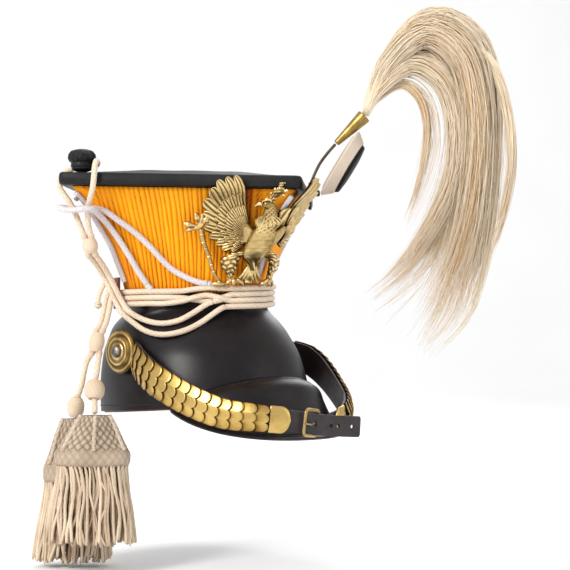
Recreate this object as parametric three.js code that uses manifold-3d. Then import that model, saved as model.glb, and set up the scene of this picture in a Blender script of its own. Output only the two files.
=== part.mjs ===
// Lance cap (tschapka): leather skull and peak, fluted cloth cover, square board, cap line with
// tassels, scaled chin strap, eagle plate, field badge and horsehair plume.
// Millimetres, +Z up. The origin is the centre of the head opening, and the front is -Y,
// so the wearer's right is -X.
import * as THREE from 'three';
import { mergeVertices } from 'three/addons/utils/BufferGeometryUtils.js';
import Module from 'manifold-3d';

const wasm = await Module();
wasm.setup();

// ---------------------------------------------------------------- driving dimensions

const GAP = 0.35;                 // clearance between touching pieces
const LEATHER = 2.4;              // wall of the skull and the peak
const CLOTH = 2.2;                // wall of the cover behind its flutes
const BACK = 9;                   // the head of the cap sits this far behind the skull's centre

const HEAD = { rimHeight: 2, rimTilt: -0.065, crown: 98 };
const WAIST = { height: HEAD.crown + GAP, half: 59, round: 24 };
const BOARD = {
  x: -3, y: 11, diagonal: 136, round: 7, bottom: 181.6, band: 10.6, wall: 2.6, dome: 12, shelf: 22,
  tiltX: -0.017, tiltY: 0.015,     // the board leans a little towards the front left
};
const CORD = 4.6;                 // cream cap line
const WHITE_CORD = 5;             // pale cord across the panel

// ---------------------------------------------------------------- materials

const finish = (color, roughness, metalness = 0) =>
  new THREE.MeshStandardMaterial({ color, roughness, metalness });

const blackLeather = finish('#3a3639', 0.42);
const brownLeather = finish('#8a4a28', 0.6);
const strapLeather = finish('#382e30', 0.55);
const yellowCloth = finish('#f29c12', 0.85);
const paleCord = finish('#e6e0e6', 0.8);
const creamCord = finish('#e6cdab', 0.8);
const brass = finish('#b8954a', 0.35, 1);
const steel = finish('#6d635b', 0.4, 1);
const horsehair = finish('#dcc7a2', 0.7);
const badgeCloth = finish('#c9bda8', 0.85);
const blackCloth = finish('#1b1613', 0.8);

const part = new THREE.Group();

function add(name, geometry, material) {
  const mesh = new THREE.Mesh(geometry, material);
  mesh.name = name;
  part.add(mesh);
  return mesh;
}

// ---------------------------------------------------------------- shape helpers

const at = (x, y, z) => new THREE.Vector3(x, y, z);
const UP = at(0, 0, 1);
const lerp = THREE.MathUtils.lerp;
const clamp = THREE.MathUtils.clamp;

// A closed body through rings of points, each ring the same length. A fan covers each end,
// or the last ring joins the first one when the body is itself a ring.
function skin(rings, { joined = false } = {}) {
  const count = rings[0].length;
  const points = rings.flat();
  const faces = [];
  const bands = joined ? rings.length : rings.length - 1;
  for (let level = 0; level < bands; level += 1) {
    const next = (level + 1) % rings.length;
    for (let i = 0; i < count; i += 1) {
      const j = (i + 1) % count;
      const [a, b, c, d] = [level * count + i, level * count + j, next * count + j, next * count + i];
      faces.push(a, b, c, a, c, d);
    }
  }
  for (const [level, flip] of joined ? [] : [[0, true], [rings.length - 1, false]]) {
    const middle = rings[level].reduce((sum, p) => sum.add(p), at(0, 0, 0)).divideScalar(count);
    points.push(middle);
    for (let i = 0; i < count; i += 1) {
      const a = level * count + i;
      const b = level * count + ((i + 1) % count);
      faces.push(...(flip ? [b, a, points.length - 1] : [a, b, points.length - 1]));
    }
  }
  return outward(geometryFrom(points, faces));
}

// Turns every face of a closed body outwards.
function outward(geometry) {
  const faces = geometry.index ? Array.from(geometry.index.array)
    : Array.from({ length: geometry.attributes.position.count }, (_, i) => i);
  const corner = (i) => at(0, 0, 0).fromBufferAttribute(geometry.attributes.position, faces[i]);
  let volume = 0;
  for (let i = 0; i < faces.length; i += 3) volume += corner(i).dot(corner(i + 1).cross(corner(i + 2)));
  if (volume < 0) {
    for (let i = 0; i < faces.length; i += 3) [faces[i], faces[i + 1]] = [faces[i + 1], faces[i]];
  }
  return geometry.clone().setIndex(faces);
}

function geometryFrom(points, faces) {
  const geometry = new THREE.BufferGeometry();
  const flat = points.flatMap((p) => [p.x, p.y, p.z]);
  geometry.setAttribute('position', new THREE.Float32BufferAttribute(flat, 3));
  geometry.setIndex(faces);
  return geometry;
}

function solid(geometry) {
  const bare = geometry.clone();
  bare.deleteAttribute('normal');
  bare.deleteAttribute('uv');
  const merged = mergeVertices(bare, 1e-4);
  return new wasm.Manifold(new wasm.Mesh({
    numProp: 3,
    vertProperties: merged.attributes.position.array,
    triVerts: new Uint32Array(merged.index.array),
  }));
}

function geometryOf(manifold) {
  const { vertProperties, triVerts } = manifold.getMesh();
  const geometry = new THREE.BufferGeometry();
  geometry.setAttribute('position', new THREE.BufferAttribute(vertProperties, 3));
  geometry.setIndex(new THREE.BufferAttribute(triVerts, 1));
  return geometry;
}

const cut = (body, tool) => geometryOf(solid(body).subtract(solid(tool)));
const fuse = (bodies) => geometryOf(bodies.map(solid).reduce((a, b) => a.add(b)));

// A round bar along a smooth curve through points.
function cordAlong(points, diameter, { sides = 8, steps } = {}) {
  const section = new THREE.Shape();
  for (let i = 0; i < sides; i += 1) {
    const turn = (2 * Math.PI * (i + 0.5)) / sides;
    const [x, y] = [Math.cos(turn), Math.sin(turn)].map((v) => (v * diameter) / 2);
    if (i === 0) section.moveTo(x, y);
    else section.lineTo(x, y);
  }
  section.closePath();
  const route = new THREE.CatmullRomCurve3(points, false, 'centripetal');
  return new THREE.ExtrudeGeometry(section, { steps, extrudePath: route, bevelEnabled: false });
}

// A turned body: profile rows are [radius, height] from axis to axis, turned about axis at base.
function turned(profile, base, axis, segments = 16) {
  const geometry = new THREE.LatheGeometry(profile.map(([r, h]) => new THREE.Vector2(r, h)), segments);
  const turn = new THREE.Quaternion().setFromUnitVectors(at(0, 1, 0), axis.clone().normalize());
  return geometry.applyQuaternion(turn).translate(base.x, base.y, base.z);
}

// Reads a table's column at a key, in a straight line between the nearest rows.
function column(table, key, name, value) {
  if (value <= table[0][key]) return table[0][name];
  for (let i = 0; i + 1 < table.length; i += 1) {
    const [low, high] = [table[i], table[i + 1]];
    if (value <= high[key]) return lerp(low[name], high[name], (value - low[key]) / (high[key] - low[key]));
  }
  return table[table.length - 1][name];
}

// ---------------------------------------------------------------- plan outlines

// Distance from the centre to a square with round corners, whose corners lie on X and Y.
function squareReach(turn, half, round) {
  const side = Math.PI / 2;
  const fromFlat = Math.abs((((turn % side) + side) % side) - side / 2);
  const [c, s] = [Math.cos(fromFlat), Math.sin(fromFlat)];
  const core = half - round;
  if ((half * s) / c <= core) return half / c;
  const along = core * (c + s);
  return along + Math.sqrt(along * along - 2 * core * core + round * round);
}

const ellipseReach = (turn, halfX, halfY) => 1 / Math.hypot(Math.cos(turn) / halfX, Math.sin(turn) / halfY);

// Half side of the square whose round corner reaches that far along its diagonal.
const halfOfSquare = (diagonal, round) => (diagonal + round * (Math.SQRT2 - 1)) / Math.SQRT2;

// ---------------------------------------------------------------- skull, peak and sweatband

// Plan sections of the skull: an ellipse that turns into the round square of the waist.
const skullSections = [
  { z: 0, halfX: 83.5, halfY: 98, centre: 0, square: 0 },
  { z: 20, halfX: 83.3, halfY: 97.2, centre: 2, square: 0 },
  { z: 45, halfX: 79.5, halfY: 92, centre: 5.5, square: 0 },
  { z: 60, halfX: 75, halfY: 86.5, centre: 8, square: 0.05 },
  { z: 73, halfX: 69.5, halfY: 79, centre: 10, square: 0.15 },
  { z: 82, halfX: 62.5, halfY: 69.5, centre: 9.5, square: 0.4 },
  { z: 89, halfX: 58, halfY: 62, centre: BACK, square: 0.9 },
  { z: HEAD.crown, halfX: 58, halfY: 60, centre: BACK, square: 1 },
];

const rimZ = (y) => HEAD.rimHeight + HEAD.rimTilt * y;

// A point of the skull's outside, moved out by offset; below the first section it follows the rim.
function skullPoint(turn, z, offset = 0) {
  const [halfX, halfY, centre, square] = ['halfX', 'halfY', 'centre', 'square']
    .map((name) => column(skullSections, 'z', name, z));
  const reach = lerp(
    ellipseReach(turn, halfX, halfY),
    squareReach(turn, WAIST.half - 0.6, WAIST.round),
    square,
  ) + offset;
  return at(reach * Math.cos(turn), centre + reach * Math.sin(turn), z);
}

function skullRing(z, offset, segments = 26) {
  return Array.from({ length: segments }, (_, i) => skullPoint((2 * Math.PI * i) / segments, z, offset));
}

const followRim = (ring, drop = 0) => ring.map((p) => at(p.x, p.y, rimZ(p.y) - drop));

function skullGeometry() {
  const outer = [HEAD.crown, 90, 84, 76, 66, 50, 22].map((z) => skullRing(z, 0));
  const inner = [22, 52, 76, HEAD.crown - LEATHER].map((z) => skullRing(z, -LEATHER));
  return skin([...outer, followRim(skullRing(0, 0)), followRim(skullRing(0, -LEATHER)), ...inner]);
}

function sweatbandGeometry() {
  const [top, wall, drop] = [22, 1.3, 1.4];
  const clear = -LEATHER - GAP;
  const outside = [followRim(skullRing(0, clear), drop), skullRing(top, clear)];
  const inside = [skullRing(top, clear - wall), followRim(skullRing(0, clear - wall), drop)];
  return skin([...outside, ...inside], { joined: true });
}

// The peak's rim is half an oval in plan; its seam climbs the front of the skull.
const PEAK = { side: 75, start: -52, reach: 90, rimZ: -18, rise: 20, seamZ: 30, seamTurn: 57 };
const peakProfile = [
  { t: 0, out: 0, down: 0 },
  { t: 0.2, out: 0.28, down: 0.13 },
  { t: 0.45, out: 0.44, down: 0.42 },
  { t: 0.7, out: 0.64, down: 0.72 },
  { t: 1, out: 1, down: 1 },
];

// across runs from -1 (right) to 1 (left), t from the seam to the rim.
function peakPoint(across, t, lift) {
  const swing = (across * Math.PI) / 2;
  const rim = at(
    PEAK.side * Math.sin(swing),
    PEAK.start - PEAK.reach * Math.cos(swing),
    PEAK.rimZ + PEAK.rise * Math.abs(across) ** 3,
  );
  const turn = -Math.PI / 2 + THREE.MathUtils.degToRad(across * PEAK.seamTurn);
  const seamZ = lerp(PEAK.seamZ, 6, across * across);
  const seam = skullPoint(turn, seamZ, GAP);
  const out = column(peakProfile, 't', 'out', t);
  const down = column(peakProfile, 't', 'down', t);
  const point = at(lerp(seam.x, rim.x, out), lerp(seam.y, rim.y, out), lerp(seam.z, rim.z, down));
  const away = at(rim.x - seam.x, rim.y - seam.y, 0).normalize();
  const slope = lerp(1, 0.75, t);
  return point.addScaledVector(away, lift * slope).add(at(0, 0, lift * (1 - slope) * 1.5));
}

function peakGeometry() {
  const [columns, rows] = [16, 5];
  const rings = [];
  for (let i = 0; i <= columns; i += 1) {
    const across = lerp(-1, 1, i / columns);
    const outer = Array.from({ length: rows + 1 }, (_, j) => peakPoint(across, j / rows, LEATHER));
    const inner = Array.from({ length: rows + 1 }, (_, j) => peakPoint(across, 1 - j / rows, 0));
    rings.push([...outer, ...inner]);
  }
  return skin(rings);
}

add('skull', skullGeometry(), blackLeather);
add('sweatband', sweatbandGeometry(), brownLeather);
add('front_peak', peakGeometry(), blackLeather);

// ---------------------------------------------------------------- fluted cover and its piping

// Height, reach of the corner ridge, corner radius and sideways shift of the cover's sections.
const coverSections = [
  { z: WAIST.height, ridge: 71.5, round: 24, shift: 0 },
  { z: 107, ridge: 74.5, round: 22, shift: 0 },
  { z: 123, ridge: 82, round: 18, shift: 0 },
  { z: 137, ridge: 89, round: 15, shift: 0 },
  { z: 150, ridge: 98, round: 12.5, shift: -0.5 },
  { z: 160, ridge: 105, round: 11, shift: -1 },
  { z: 170, ridge: 112.5, round: 9.5, shift: -1.5 },
  { z: BOARD.bottom, ridge: 126, round: 8, shift: -2 },
];
const FLUTES = { perSide: 14, depth: 1.5, plainStrip: 9, levels: [WAIST.height, 123, 145, 168] };

const boardTilt = (x, y) => BOARD.tiltX * (x - BOARD.x) + BOARD.tiltY * (y - BOARD.y);

// Heights near the board follow its lean, and those at the waist don't.
function leaned(p) {
  const share = clamp((p.z - WAIST.height) / (BOARD.bottom - WAIST.height), 0, 1);
  return at(p.x, p.y, p.z + share * boardTilt(p.x, p.y));
}

// A point of one side of the cover; s runs from one corner ridge (-1) to the next (1).
function coverPoint(side, s, z, offset) {
  const [ridge, round, shift] = ['ridge', 'round', 'shift']
    .map((name) => column(coverSections, 'z', name, z));
  const half = halfOfSquare(ridge, round);
  const core = half - round;
  const arc = (round * Math.PI) / 4;
  const out = -Math.PI / 4 + (side * Math.PI) / 2;
  const along = Math.abs(s) * (core + arc);
  const bend = along > core ? (along - core) / round : 0;
  const turn = out + Math.sign(s) * bend;
  const base = at(shift, BACK, z)
    .add(at(Math.cos(out), Math.sin(out), 0).multiplyScalar(core))
    .add(at(-Math.sin(out), Math.cos(out), 0).multiplyScalar(Math.sign(s) * Math.min(along, core)));
  return base.add(at(Math.cos(turn), Math.sin(turn), 0).multiplyScalar(round + offset));
}

// How far along a side its flutes reach, as a share of the way to the ridge.
function fluteReach(z) {
  const ridge = column(coverSections, 'z', 'ridge', z);
  const round = column(coverSections, 'z', 'round', z);
  const core = halfOfSquare(ridge, round) - round;
  const widest = coverSections[coverSections.length - 1].ridge;
  return 1 - (FLUTES.plainStrip * (ridge / widest)) / (core + (round * Math.PI) / 4);
}

// One ring of the cover: four sides, fluted outside and plain inside.
function coverRing(z, { offset = 0, fluted = true } = {}) {
  const ring = [];
  const plain = [-0.9, -0.75, 0, 0.75, 0.9];
  for (let side = 0; side < 4; side += 1) {
    ring.push(coverPoint(side, -1, z, offset));
    if (fluted) {
      const reach = fluteReach(z);
      const folds = FLUTES.perSide * 2;
      for (let i = 0; i <= folds; i += 1) {
        const lift = i % 2 ? offset : offset - FLUTES.depth;
        ring.push(coverPoint(side, lerp(-reach, reach, i / folds), z, lift));
      }
    } else {
      ring.push(...plain.map((s) => coverPoint(side, s, z, offset)));
    }
  }
  return ring;
}

function coverGeometry() {
  const top = BOARD.bottom - GAP;
  const raise = (ring, shift) => ring.map((p) => leaned(p).add(at(0, 0, shift)));
  const levels = [...FLUTES.levels, top];
  const outside = levels.map((z) => raise(coverRing(z), 0));
  const inset = { offset: -FLUTES.depth - CLOTH, fluted: false };
  const inside = [[WAIST.height, -2], ...levels.map((z) => [z, 0]), [top, 2]]
    .map(([z, shift]) => raise(coverRing(z, inset), shift));
  return cut(skin(outside), skin(inside));
}

add('fluted_cover', coverGeometry(), yellowCloth);

// The piping stands on each ridge: front, right, back and left of the cap.
const PIPING = 4.2;
const corners = [
  { name: 'front', x: 0, y: -1, start: 111.5 },
  { name: 'right', x: -1, y: 0, start: 107 },
  { name: 'back', x: 0, y: 1, start: 112.5 },
  { name: 'left', x: 1, y: 0, start: 113 },
];
const ridgeSlant = (z) => Math.hypot(
  1,
  (column(coverSections, 'z', 'ridge', z + 1.5) - column(coverSections, 'z', 'ridge', z - 1.5)) / 3,
);
const ridgePoint = (corner, z, off) => {
  const reach = column(coverSections, 'z', 'ridge', z) + off * ridgeSlant(z);
  const shift = column(coverSections, 'z', 'shift', z);
  return leaned(at(shift + corner.x * reach, BACK + corner.y * reach, z));
};
for (const corner of corners) {
  const levels = [corner.start, 123, 145, 160, 168, BOARD.bottom - 5.5];
  const points = levels.map((z) => ridgePoint(corner, z, PIPING / 2 + GAP + 0.3));
  add(`corner_piping_${corner.name}`, cordAlong(points, PIPING, { steps: 6 }), paleCord);
}

// ---------------------------------------------------------------- board and corner knob

// The board's outline: four round corners joined by straight sides.
function boardRing(inset, z) {
  const half = halfOfSquare(BOARD.diagonal, BOARD.round) - inset;
  const round = Math.max(2, BOARD.round - inset);
  const ring = [];
  for (let corner = 0; corner < 4; corner += 1) {
    const middle = (corner * Math.PI) / 2;
    const out = (half - round) * Math.SQRT2;
    for (const bend of [-45, -15, 15, 45]) {
      const turn = middle + THREE.MathUtils.degToRad(bend);
      const x = BOARD.x + out * Math.cos(middle) + round * Math.cos(turn);
      const y = BOARD.y + out * Math.sin(middle) + round * Math.sin(turn);
      ring.push(at(x, y, z + boardTilt(x, y)));
    }
  }
  return ring;
}

const bandTop = BOARD.bottom + BOARD.band;

// The edge has a shelf inwards, which lies on the cover's top.
function bandGeometry() {
  const section = [
    [1.2, 0], [0, 2.4], [0, BOARD.band - 2.4], [1, BOARD.band], [BOARD.wall, BOARD.band],
    [BOARD.wall, BOARD.wall], [BOARD.shelf, BOARD.wall], [BOARD.shelf, 0],
  ];
  return skin(section.map(([inset, up]) => boardRing(inset, BOARD.bottom + up)), { joined: true });
}

// The top is a thin domed plate; share is the way from its middle to its edge.
function boardTopGeometry() {
  const clear = BOARD.wall + GAP;
  const ring = (share, drop) => {
    const inset = clear + (1 - share) * (halfOfSquare(BOARD.diagonal, BOARD.round) - clear);
    const rise = BOARD.dome * (1 - share * share) ** 1.5;
    return boardRing(inset, bandTop - 0.6 + rise - drop);
  };
  const outer = [0.15, 0.4, 0.65, 0.85, 1].map((share) => ring(share, 0));
  const inner = [1, 0.8, 0.5, 0.15].map((share) => ring(share, BOARD.wall));
  return skin([...outer, ...inner]);
}

add('board_edge', bandGeometry(), blackLeather);
add('board_top', boardTopGeometry(), blackLeather);

const KNOB = at(-119.5, BACK, bandTop + boardTilt(-119.5, BACK) + 1.3);
const knobProfile = [
  [0, 0], [4.5, 0], [7.6, 1.2], [8.8, 3.5], [9, 7.5], [10.9, 10.5], [10.9, 13.5], [8.5, 16.8],
  [4, 18.2], [0, 18.4],
];
add('corner_knob', turned(knobProfile, KNOB, UP, 11), blackLeather);

// A small stud on the right corner, below the board, keeps the cord loop in place.
const STUD = { ridgeOff: 5.4, z: 172, axis: at(-0.65, 0, -0.76) };
const studProfile = [[0, 0], [1.5, 0], [2.2, 1], [1.7, 2], [0, 2.4]];
const studBase = ridgePoint(corners[1], STUD.z, STUD.ridgeOff);
add('cord_stud', turned(studProfile, studBase, STUD.axis, 8), steel);

// ---------------------------------------------------------------- cord wound round the waist

// Four turns lie over each other at the front left; the first one starts at the front right.
const WIND = { turns: 3.5, start: 87.2, pitch: 4.95, tilt: 0.03, arcShare: 0.37, arcSteps: 3 };
const waistSections = [
  { z: 84, half: 63.6, round: 34 },
  { z: 88, half: 61.9, round: 30 },
  { z: 98, half: 61.5, round: 26 },
  { z: 110, half: 64.6, round: 26 },
];

// Quarters are counted from the front corner, and share is the way through one quarter.
function woundPoint(quarter, share) {
  const middle = -Math.PI / 2 + (quarter * Math.PI) / 2;
  const bend = THREE.MathUtils.degToRad(lerp(-45, 45, share / WIND.arcShare));
  const climb = WIND.start + (WIND.pitch * (quarter + share)) / 4;
  const half = column(waistSections, 'z', 'half', climb);
  const round = column(waistSections, 'z', 'round', climb);
  const out = (half - round) * Math.SQRT2;
  const x = out * Math.cos(middle) + round * Math.cos(middle + bend);
  const y = BACK + out * Math.sin(middle) + round * Math.sin(middle + bend);
  return at(x, y, climb + WIND.tilt * x);
}

// A round bar through given points, its section upright at each of them.
function barThrough(points, diameter, sides = 8) {
  return skin(points.map((p, i) => {
    const before = points[Math.max(0, i - 1)];
    const after = points[Math.min(points.length - 1, i + 1)];
    const along = after.clone().sub(before).normalize();
    const out = along.clone().cross(UP).normalize();
    const up = out.clone().cross(along);
    return Array.from({ length: sides }, (_, k) => {
      const turn = (2 * Math.PI * (k + 0.5)) / sides;
      return p.clone()
        .addScaledVector(up, (Math.cos(turn) * diameter) / 2)
        .addScaledVector(out, (Math.sin(turn) * diameter) / 2);
    });
  }));
}

function waistCordGeometry() {
  const points = [];
  for (let quarter = 0; quarter < WIND.turns * 4; quarter += 1) {
    for (let step = 0; step <= WIND.arcSteps; step += 1) {
      points.push(woundPoint(quarter, (WIND.arcShare * step) / WIND.arcSteps));
    }
  }
  return barThrough(points, CORD, 6);
}
add('waist_cord', waistCordGeometry(), creamCord);

// ---------------------------------------------------------------- free cords and what is on them

// Routes run from the first named end to the second; each row is a point x, y, z.
const cords = [
  {
    name: 'knob_loop',               // from the upper slide round the knob and back
    steps: 18,
    route: [
      [-117.5, 8, 143], [-119.5, 12, 153], [-121, 17, 163], [-122, 23.5, 172], [-123, 30, 178.5],
      [-124, 34.8, 184.5], [-122.7, 36.4, 191], [-119.5, 34.5, 197], [-115.5, 28.5, 200],
      [-110.5, 19.5, 200.5], [-107.5, 10.5, 201], [-108.5, 3, 202.3], [-113, -2.5, 203.5],
      [-118, -9, 202.3], [-121.7, -13, 197.5], [-123, -14, 190.5], [-123.3, -12.3, 180],
      [-122.8, -7, 170], [-121, -2.2, 161], [-117.7, 1.8, 151.5], [-114.3, 3.2, 143],
    ],
  },
  {
    name: 'line_outer',              // from the upper slide, sagging to the start of the winding
    steps: 14,
    route: [
      [-113, 8, 127.8], [-104.3, 10.2, 120.8], [-95, 13.6, 111.3], [-88.8, 13.4, 101.5],
      [-84.4, 12.2, 91.6], [-82.8, 5.8, 82.4], [-77, -1.6, 74.1], [-72.1, -13.6, 66.7],
      [-67.9, -32.6, 63.8], [-57.4, -45.2, 66.8], [-44.5, -50.3, 73.2], [-33.5, -54.9, 81.2],
      [-28, -56.5, 84.8], [-23.7, -56.7, 86.3],
    ],
  },
  {
    name: 'line_inner',              // from the upper slide, sagging less, to the winding
    steps: 14,
    route: [
      [-110, 3.8, 128.8], [-101.8, 5.3, 120.7], [-92.8, 8.4, 111.2], [-86.6, 8.7, 101.4],
      [-81.8, 7, 91.5], [-79.8, -0.2, 83.2], [-73.7, -5.9, 77.8], [-67.9, -14.8, 74.1],
      [-63.2, -26.6, 72.9], [-55.5, -36.6, 75.3], [-46.4, -43.4, 81.3], [-37.4, -49.1, 88.2],
      [-32.9, -52.3, 90.6],
    ],
  },
  {
    name: 'white_cord',              // from the winding, round both strands of the loop, and back
    diameter: WHITE_CORD,
    steps: 20,
    route: [
      [-69, -10.7, 105], [-76.2, -8, 116], [-81.9, -6.2, 125.8], [-88.3, -4, 136.3],
      [-94.7, -1.8, 146], [-101.8, -1.2, 153.8], [-111.9, -5, 159.7], [-122.4, -11.5, 163.3],
      [-129.4, -9.6, 163.6], [-130.6, 1.9, 163.7], [-130.6, 12.6, 164.3], [-130.7, 23.4, 166.4],
      [-127.6, 29.4, 167.4], [-120.8, 30.2, 167.4], [-114.4, 24, 166.6], [-113.6, 17, 166],
      [-122.6, 9, 165.6], [-119.4, 2.2, 165.4], [-112, -1.6, 165.2], [-105, -4, 163.2],
      [-94.5, -8.7, 155.4], [-83.2, -13.8, 146.7], [-72.4, -19.6, 135.4], [-63.5, -24.2, 124.8],
      [-56.4, -28.2, 117.1], [-49.7, -33, 112.2], [-43.2, -37.9, 108.4], [-36.2, -44.4, 105.7],
      [-33.8, -46.9, 105.9],
    ],
  },
  {
    name: 'drop_cord_front',         // two strands from the tab to the middle slide
    steps: 4,
    route: [
      [-83.1, 15.6, 107], [-83.2, 17.7, 98], [-85.9, 17.1, 90], [-90.4, 13.4, 81],
      [-95.4, 9.6, 73], [-99.7, 8, 66.8],
    ],
  },
  {
    name: 'drop_cord_rear',
    steps: 4,
    route: [
      [-84.2, 21, 106], [-84.2, 23, 98], [-87.4, 22.2, 90], [-91.8, 18.6, 81],
      [-97, 14.9, 72], [-102.4, 12.6, 66.6],
    ],
  },
  {
    name: 'drop_front',              // from the middle slide through the front one to its tassel
    steps: 5,
    route: [
      [-103.6, 6.8, 48.4], [-106.3, 4.4, 41.5], [-109.2, 1.5, 34.2], [-112.1, -0.6, 27.9],
      [-114.2, -2.6, 19.5], [-115.8, -5, 11], [-117.3, -8, 1.1],
    ],
  },
  {
    name: 'drop_rear',               // from the middle slide to the rear one
    steps: 4,
    route: [
      [-107.1, 12.3, 48.9], [-110.9, 13.7, 42.2], [-113.6, 13.9, 33.2], [-114.9, 15.4, 22.6],
      [-116.2, 19, 13.6],
    ],
  },
];
const points = (rows) => rows.map((row) => at(...row));

for (const { name, diameter = CORD, steps, route } of cords) {
  const colour = name === 'white_cord' ? paleCord : creamCord;
  add(name, cordAlong(points(route), diameter, { steps }), colour);
}

// A loose end of the line with a knot.
const lineEnd = points([[-86.6, 25, 106], [-88.6, 27.6, 99.5], [-90.6, 28, 93.5], [-91.4, 27.4, 87]]);
const knot = new THREE.SphereGeometry(3.1, 8, 6).translate(...lineEnd[3].toArray());
add('line_end', fuse([cordAlong(lineEnd, CORD - 0.6, { steps: 3 }), knot]), creamCord);

// A leather tab round the right corner of the winding holds the hanging strands.
function waistTabGeometry() {
  const centre = at(-48.8, BACK, 0);
  const [inner, outer, low, high] = [30.8, 32.7, 85, 111];
  const rings = [];
  for (let step = 0; step <= 5; step += 1) {
    const turn = THREE.MathUtils.degToRad(lerp(174, 142, step / 5));
    const [c, s] = [Math.cos(turn), Math.sin(turn)];
    const corner = (reach, z) => at(centre.x + reach * c, centre.y + reach * s, z);
    rings.push([corner(inner, low), corner(inner, high), corner(outer, high), corner(outer, low)]);
  }
  return skin(rings);
}
add('waist_tab', waistTabGeometry(), brownLeather);

// Slides are wooden beads; a hole is a bore for the strand that runs through.
const slides = [
  { name: 'slide_upper', centre: [-113.6, 5.5, 135.8], axis: [-4, 0, 13.8], radius: 6.2, half: 6.3, hole: 0 },
  { name: 'slide_middle', centre: [-103.8, 10.1, 57.4], axis: [-3.4, -0.3, -15], radius: 6.2, half: 8, hole: 0 },
  { name: 'slide_front', centre: [-114.2, -2.6, 19.5], axis: [1.9, 2.2, 8.4], radius: 8.2, half: 7.6, hole: 3.1 },
  { name: 'slide_rear', centre: [-116.9, 20.6, 4.6], axis: [0.4, -0.6, 8], radius: 6.9, half: 8, hole: 0 },
];
const slideProfile = (radius, half) => [
  [radius * 0.58, -half], [radius * 0.92, -half * 0.6], [radius, 0],
  [radius * 0.92, half * 0.6], [radius * 0.58, half],
];
for (const { name, centre, axis, radius, half, hole } of slides) {
  const side = slideProfile(radius, half);
  const profile = hole
    ? [[hole, -half], ...side, [hole, half], [hole, -half]]
    : [[0, -half], ...side, [0, half]];
  add(name, turned(profile, at(...centre), at(...axis), 10), creamCord);
}

// ---------------------------------------------------------------- tassels

// Sections of a tassel from its top: a woven head, its widest band, then the twisted fringe.
const tasselSections = [
  { down: 0, spread: 0.42, strip: 0 },
  { down: 0.03, spread: 0.5, strip: 0 },
  { down: 0.25, spread: 0.93, strip: 0 },
  { down: 0.28, spread: 1, strip: 0 },
  { down: 0.37, spread: 1, strip: 0 },
  { down: 0.4, spread: 0.92, strip: 0.03 },
  { down: 0.7, spread: 0.98, strip: 0.08 },
  { down: 1, spread: 1.02, strip: 0.12 },
];
// Both are flattened; the wide side of each is turned towards the front right.
const tassels = [
  {
    name: 'tassel_front', top: [-117.4, -8.6, 0], band: [-120.4, -9, -34], foot: [-121.4, -8.4, -103],
    headX: 30, headY: 15, footX: 36, footY: 15.5,
  },
  {
    name: 'tassel_rear', top: [-116.6, 21.2, -4], band: [-110.5, 26.8, -50], foot: [-113, 31.4, -122],
    headX: 28, headY: 14, footX: 31, footY: 14,
  },
];
const TASSEL_TURN = THREE.MathUtils.degToRad(-38);

function tasselGeometry({ top, band, foot, headX, headY, footX, footY }) {
  const strips = 12;
  const bandShare = 0.33;
  const [c, s] = [Math.cos(TASSEL_TURN), Math.sin(TASSEL_TURN)];
  return skin(tasselSections.map(({ down, spread, strip }) => {
    const low = clamp((down - bandShare) / (1 - bandShare), 0, 1);
    const centre = down < bandShare
      ? at(...top).lerp(at(...band), down / bandShare)
      : at(...band).lerp(at(...foot), low);
    return Array.from({ length: strips }, (_, i) => {
      const turn = (-2 * Math.PI * i) / strips;
      const lobe = spread * (1 + (i % 2 ? strip : -strip));
      const wide = lerp(headX, footX, low) * lobe * Math.cos(turn);
      const deep = lerp(headY, footY, low) * lobe * Math.sin(turn);
      const ragged = strip * (i % 2 ? 18 : -12) * low;
      return centre.clone().add(at(wide * c - deep * s, wide * s + deep * c, ragged));
    });
  }));
}
for (const tassel of tassels) add(tassel.name, tasselGeometry(tassel), creamCord);

// ---------------------------------------------------------------- chin strap

// Both halves are worked out as the wearer's right one, and the left one is mirrored.
const mirrored = (geometry) => outward(geometry.clone().scale(-1, 1, 1));

const STRAP = { thick: 2, tongue: 16.6 };
const strapRoutes = {
  right: [
    [-81.4, 17, 53], [-82, 6, 50.2], [-81.4, -6, 47.1], [-81.6, -14, 45.2], [-84.9, -23, 43],
    [-89.2, -33, 39.8], [-91.6, -46, 34], [-90.8, -60, 27], [-81, -86, 13.5], [-67, -108, 4],
    [-52, -125, 1], [-28, -139.5, -2], [-5, -145.5, -5.6], [15, -149, -7.6], [36, -153, -9],
  ],
  left: [
    [-81.4, 17, 53], [-82, 6, 50.2], [-81.5, -6, 47.1], [-81.6, -14, 45.6], [-84, -23, 43.8],
    [-86.8, -33, 41], [-87, -45, 35.5], [-84.5, -60, 27], [-75, -85, 13.5], [-62.5, -107, 4],
    [-48, -122, -0.5], [-28, -136, -4], [-12.6, -141.6, -6.4],
  ],
};
// Along a half, measured from its boss: width of the leather and of the metal on it.
const strapWidths = [
  { reach: 0, width: 26 },
  { reach: 60, width: 24 },
  { reach: 160, width: 20 },
  { reach: 190, width: STRAP.tongue },
  { reach: 260, width: STRAP.tongue },
];

const strapStations = [
  0, 8, 16, 24, 33, 42.2, 51.4, 60.6, 69.8, 79, 97.4, 115.8, 134.2, 152.6, 171, 188, 205, 222, 239, 256,
];

function strapCurve(side) {
  return new THREE.CatmullRomCurve3(points(strapRoutes[side]), false, 'centripetal');
}

// Axes of the strap where its length from the start is reach.
function strapFrame(curve, reach) {
  const share = clamp(reach / curve.getLength(), 0, 1);
  const along = curve.getTangentAt(share);
  const up = UP.clone().addScaledVector(along, -along.z).normalize();
  const out = along.clone().cross(up);
  return { middle: curve.getPointAt(share), along, up, out };
}

function strapPoint({ middle, along, up, out }, across, lift, forward = 0) {
  return middle.clone().addScaledVector(up, across).addScaledVector(out, lift).addScaledVector(along, forward);
}

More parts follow.
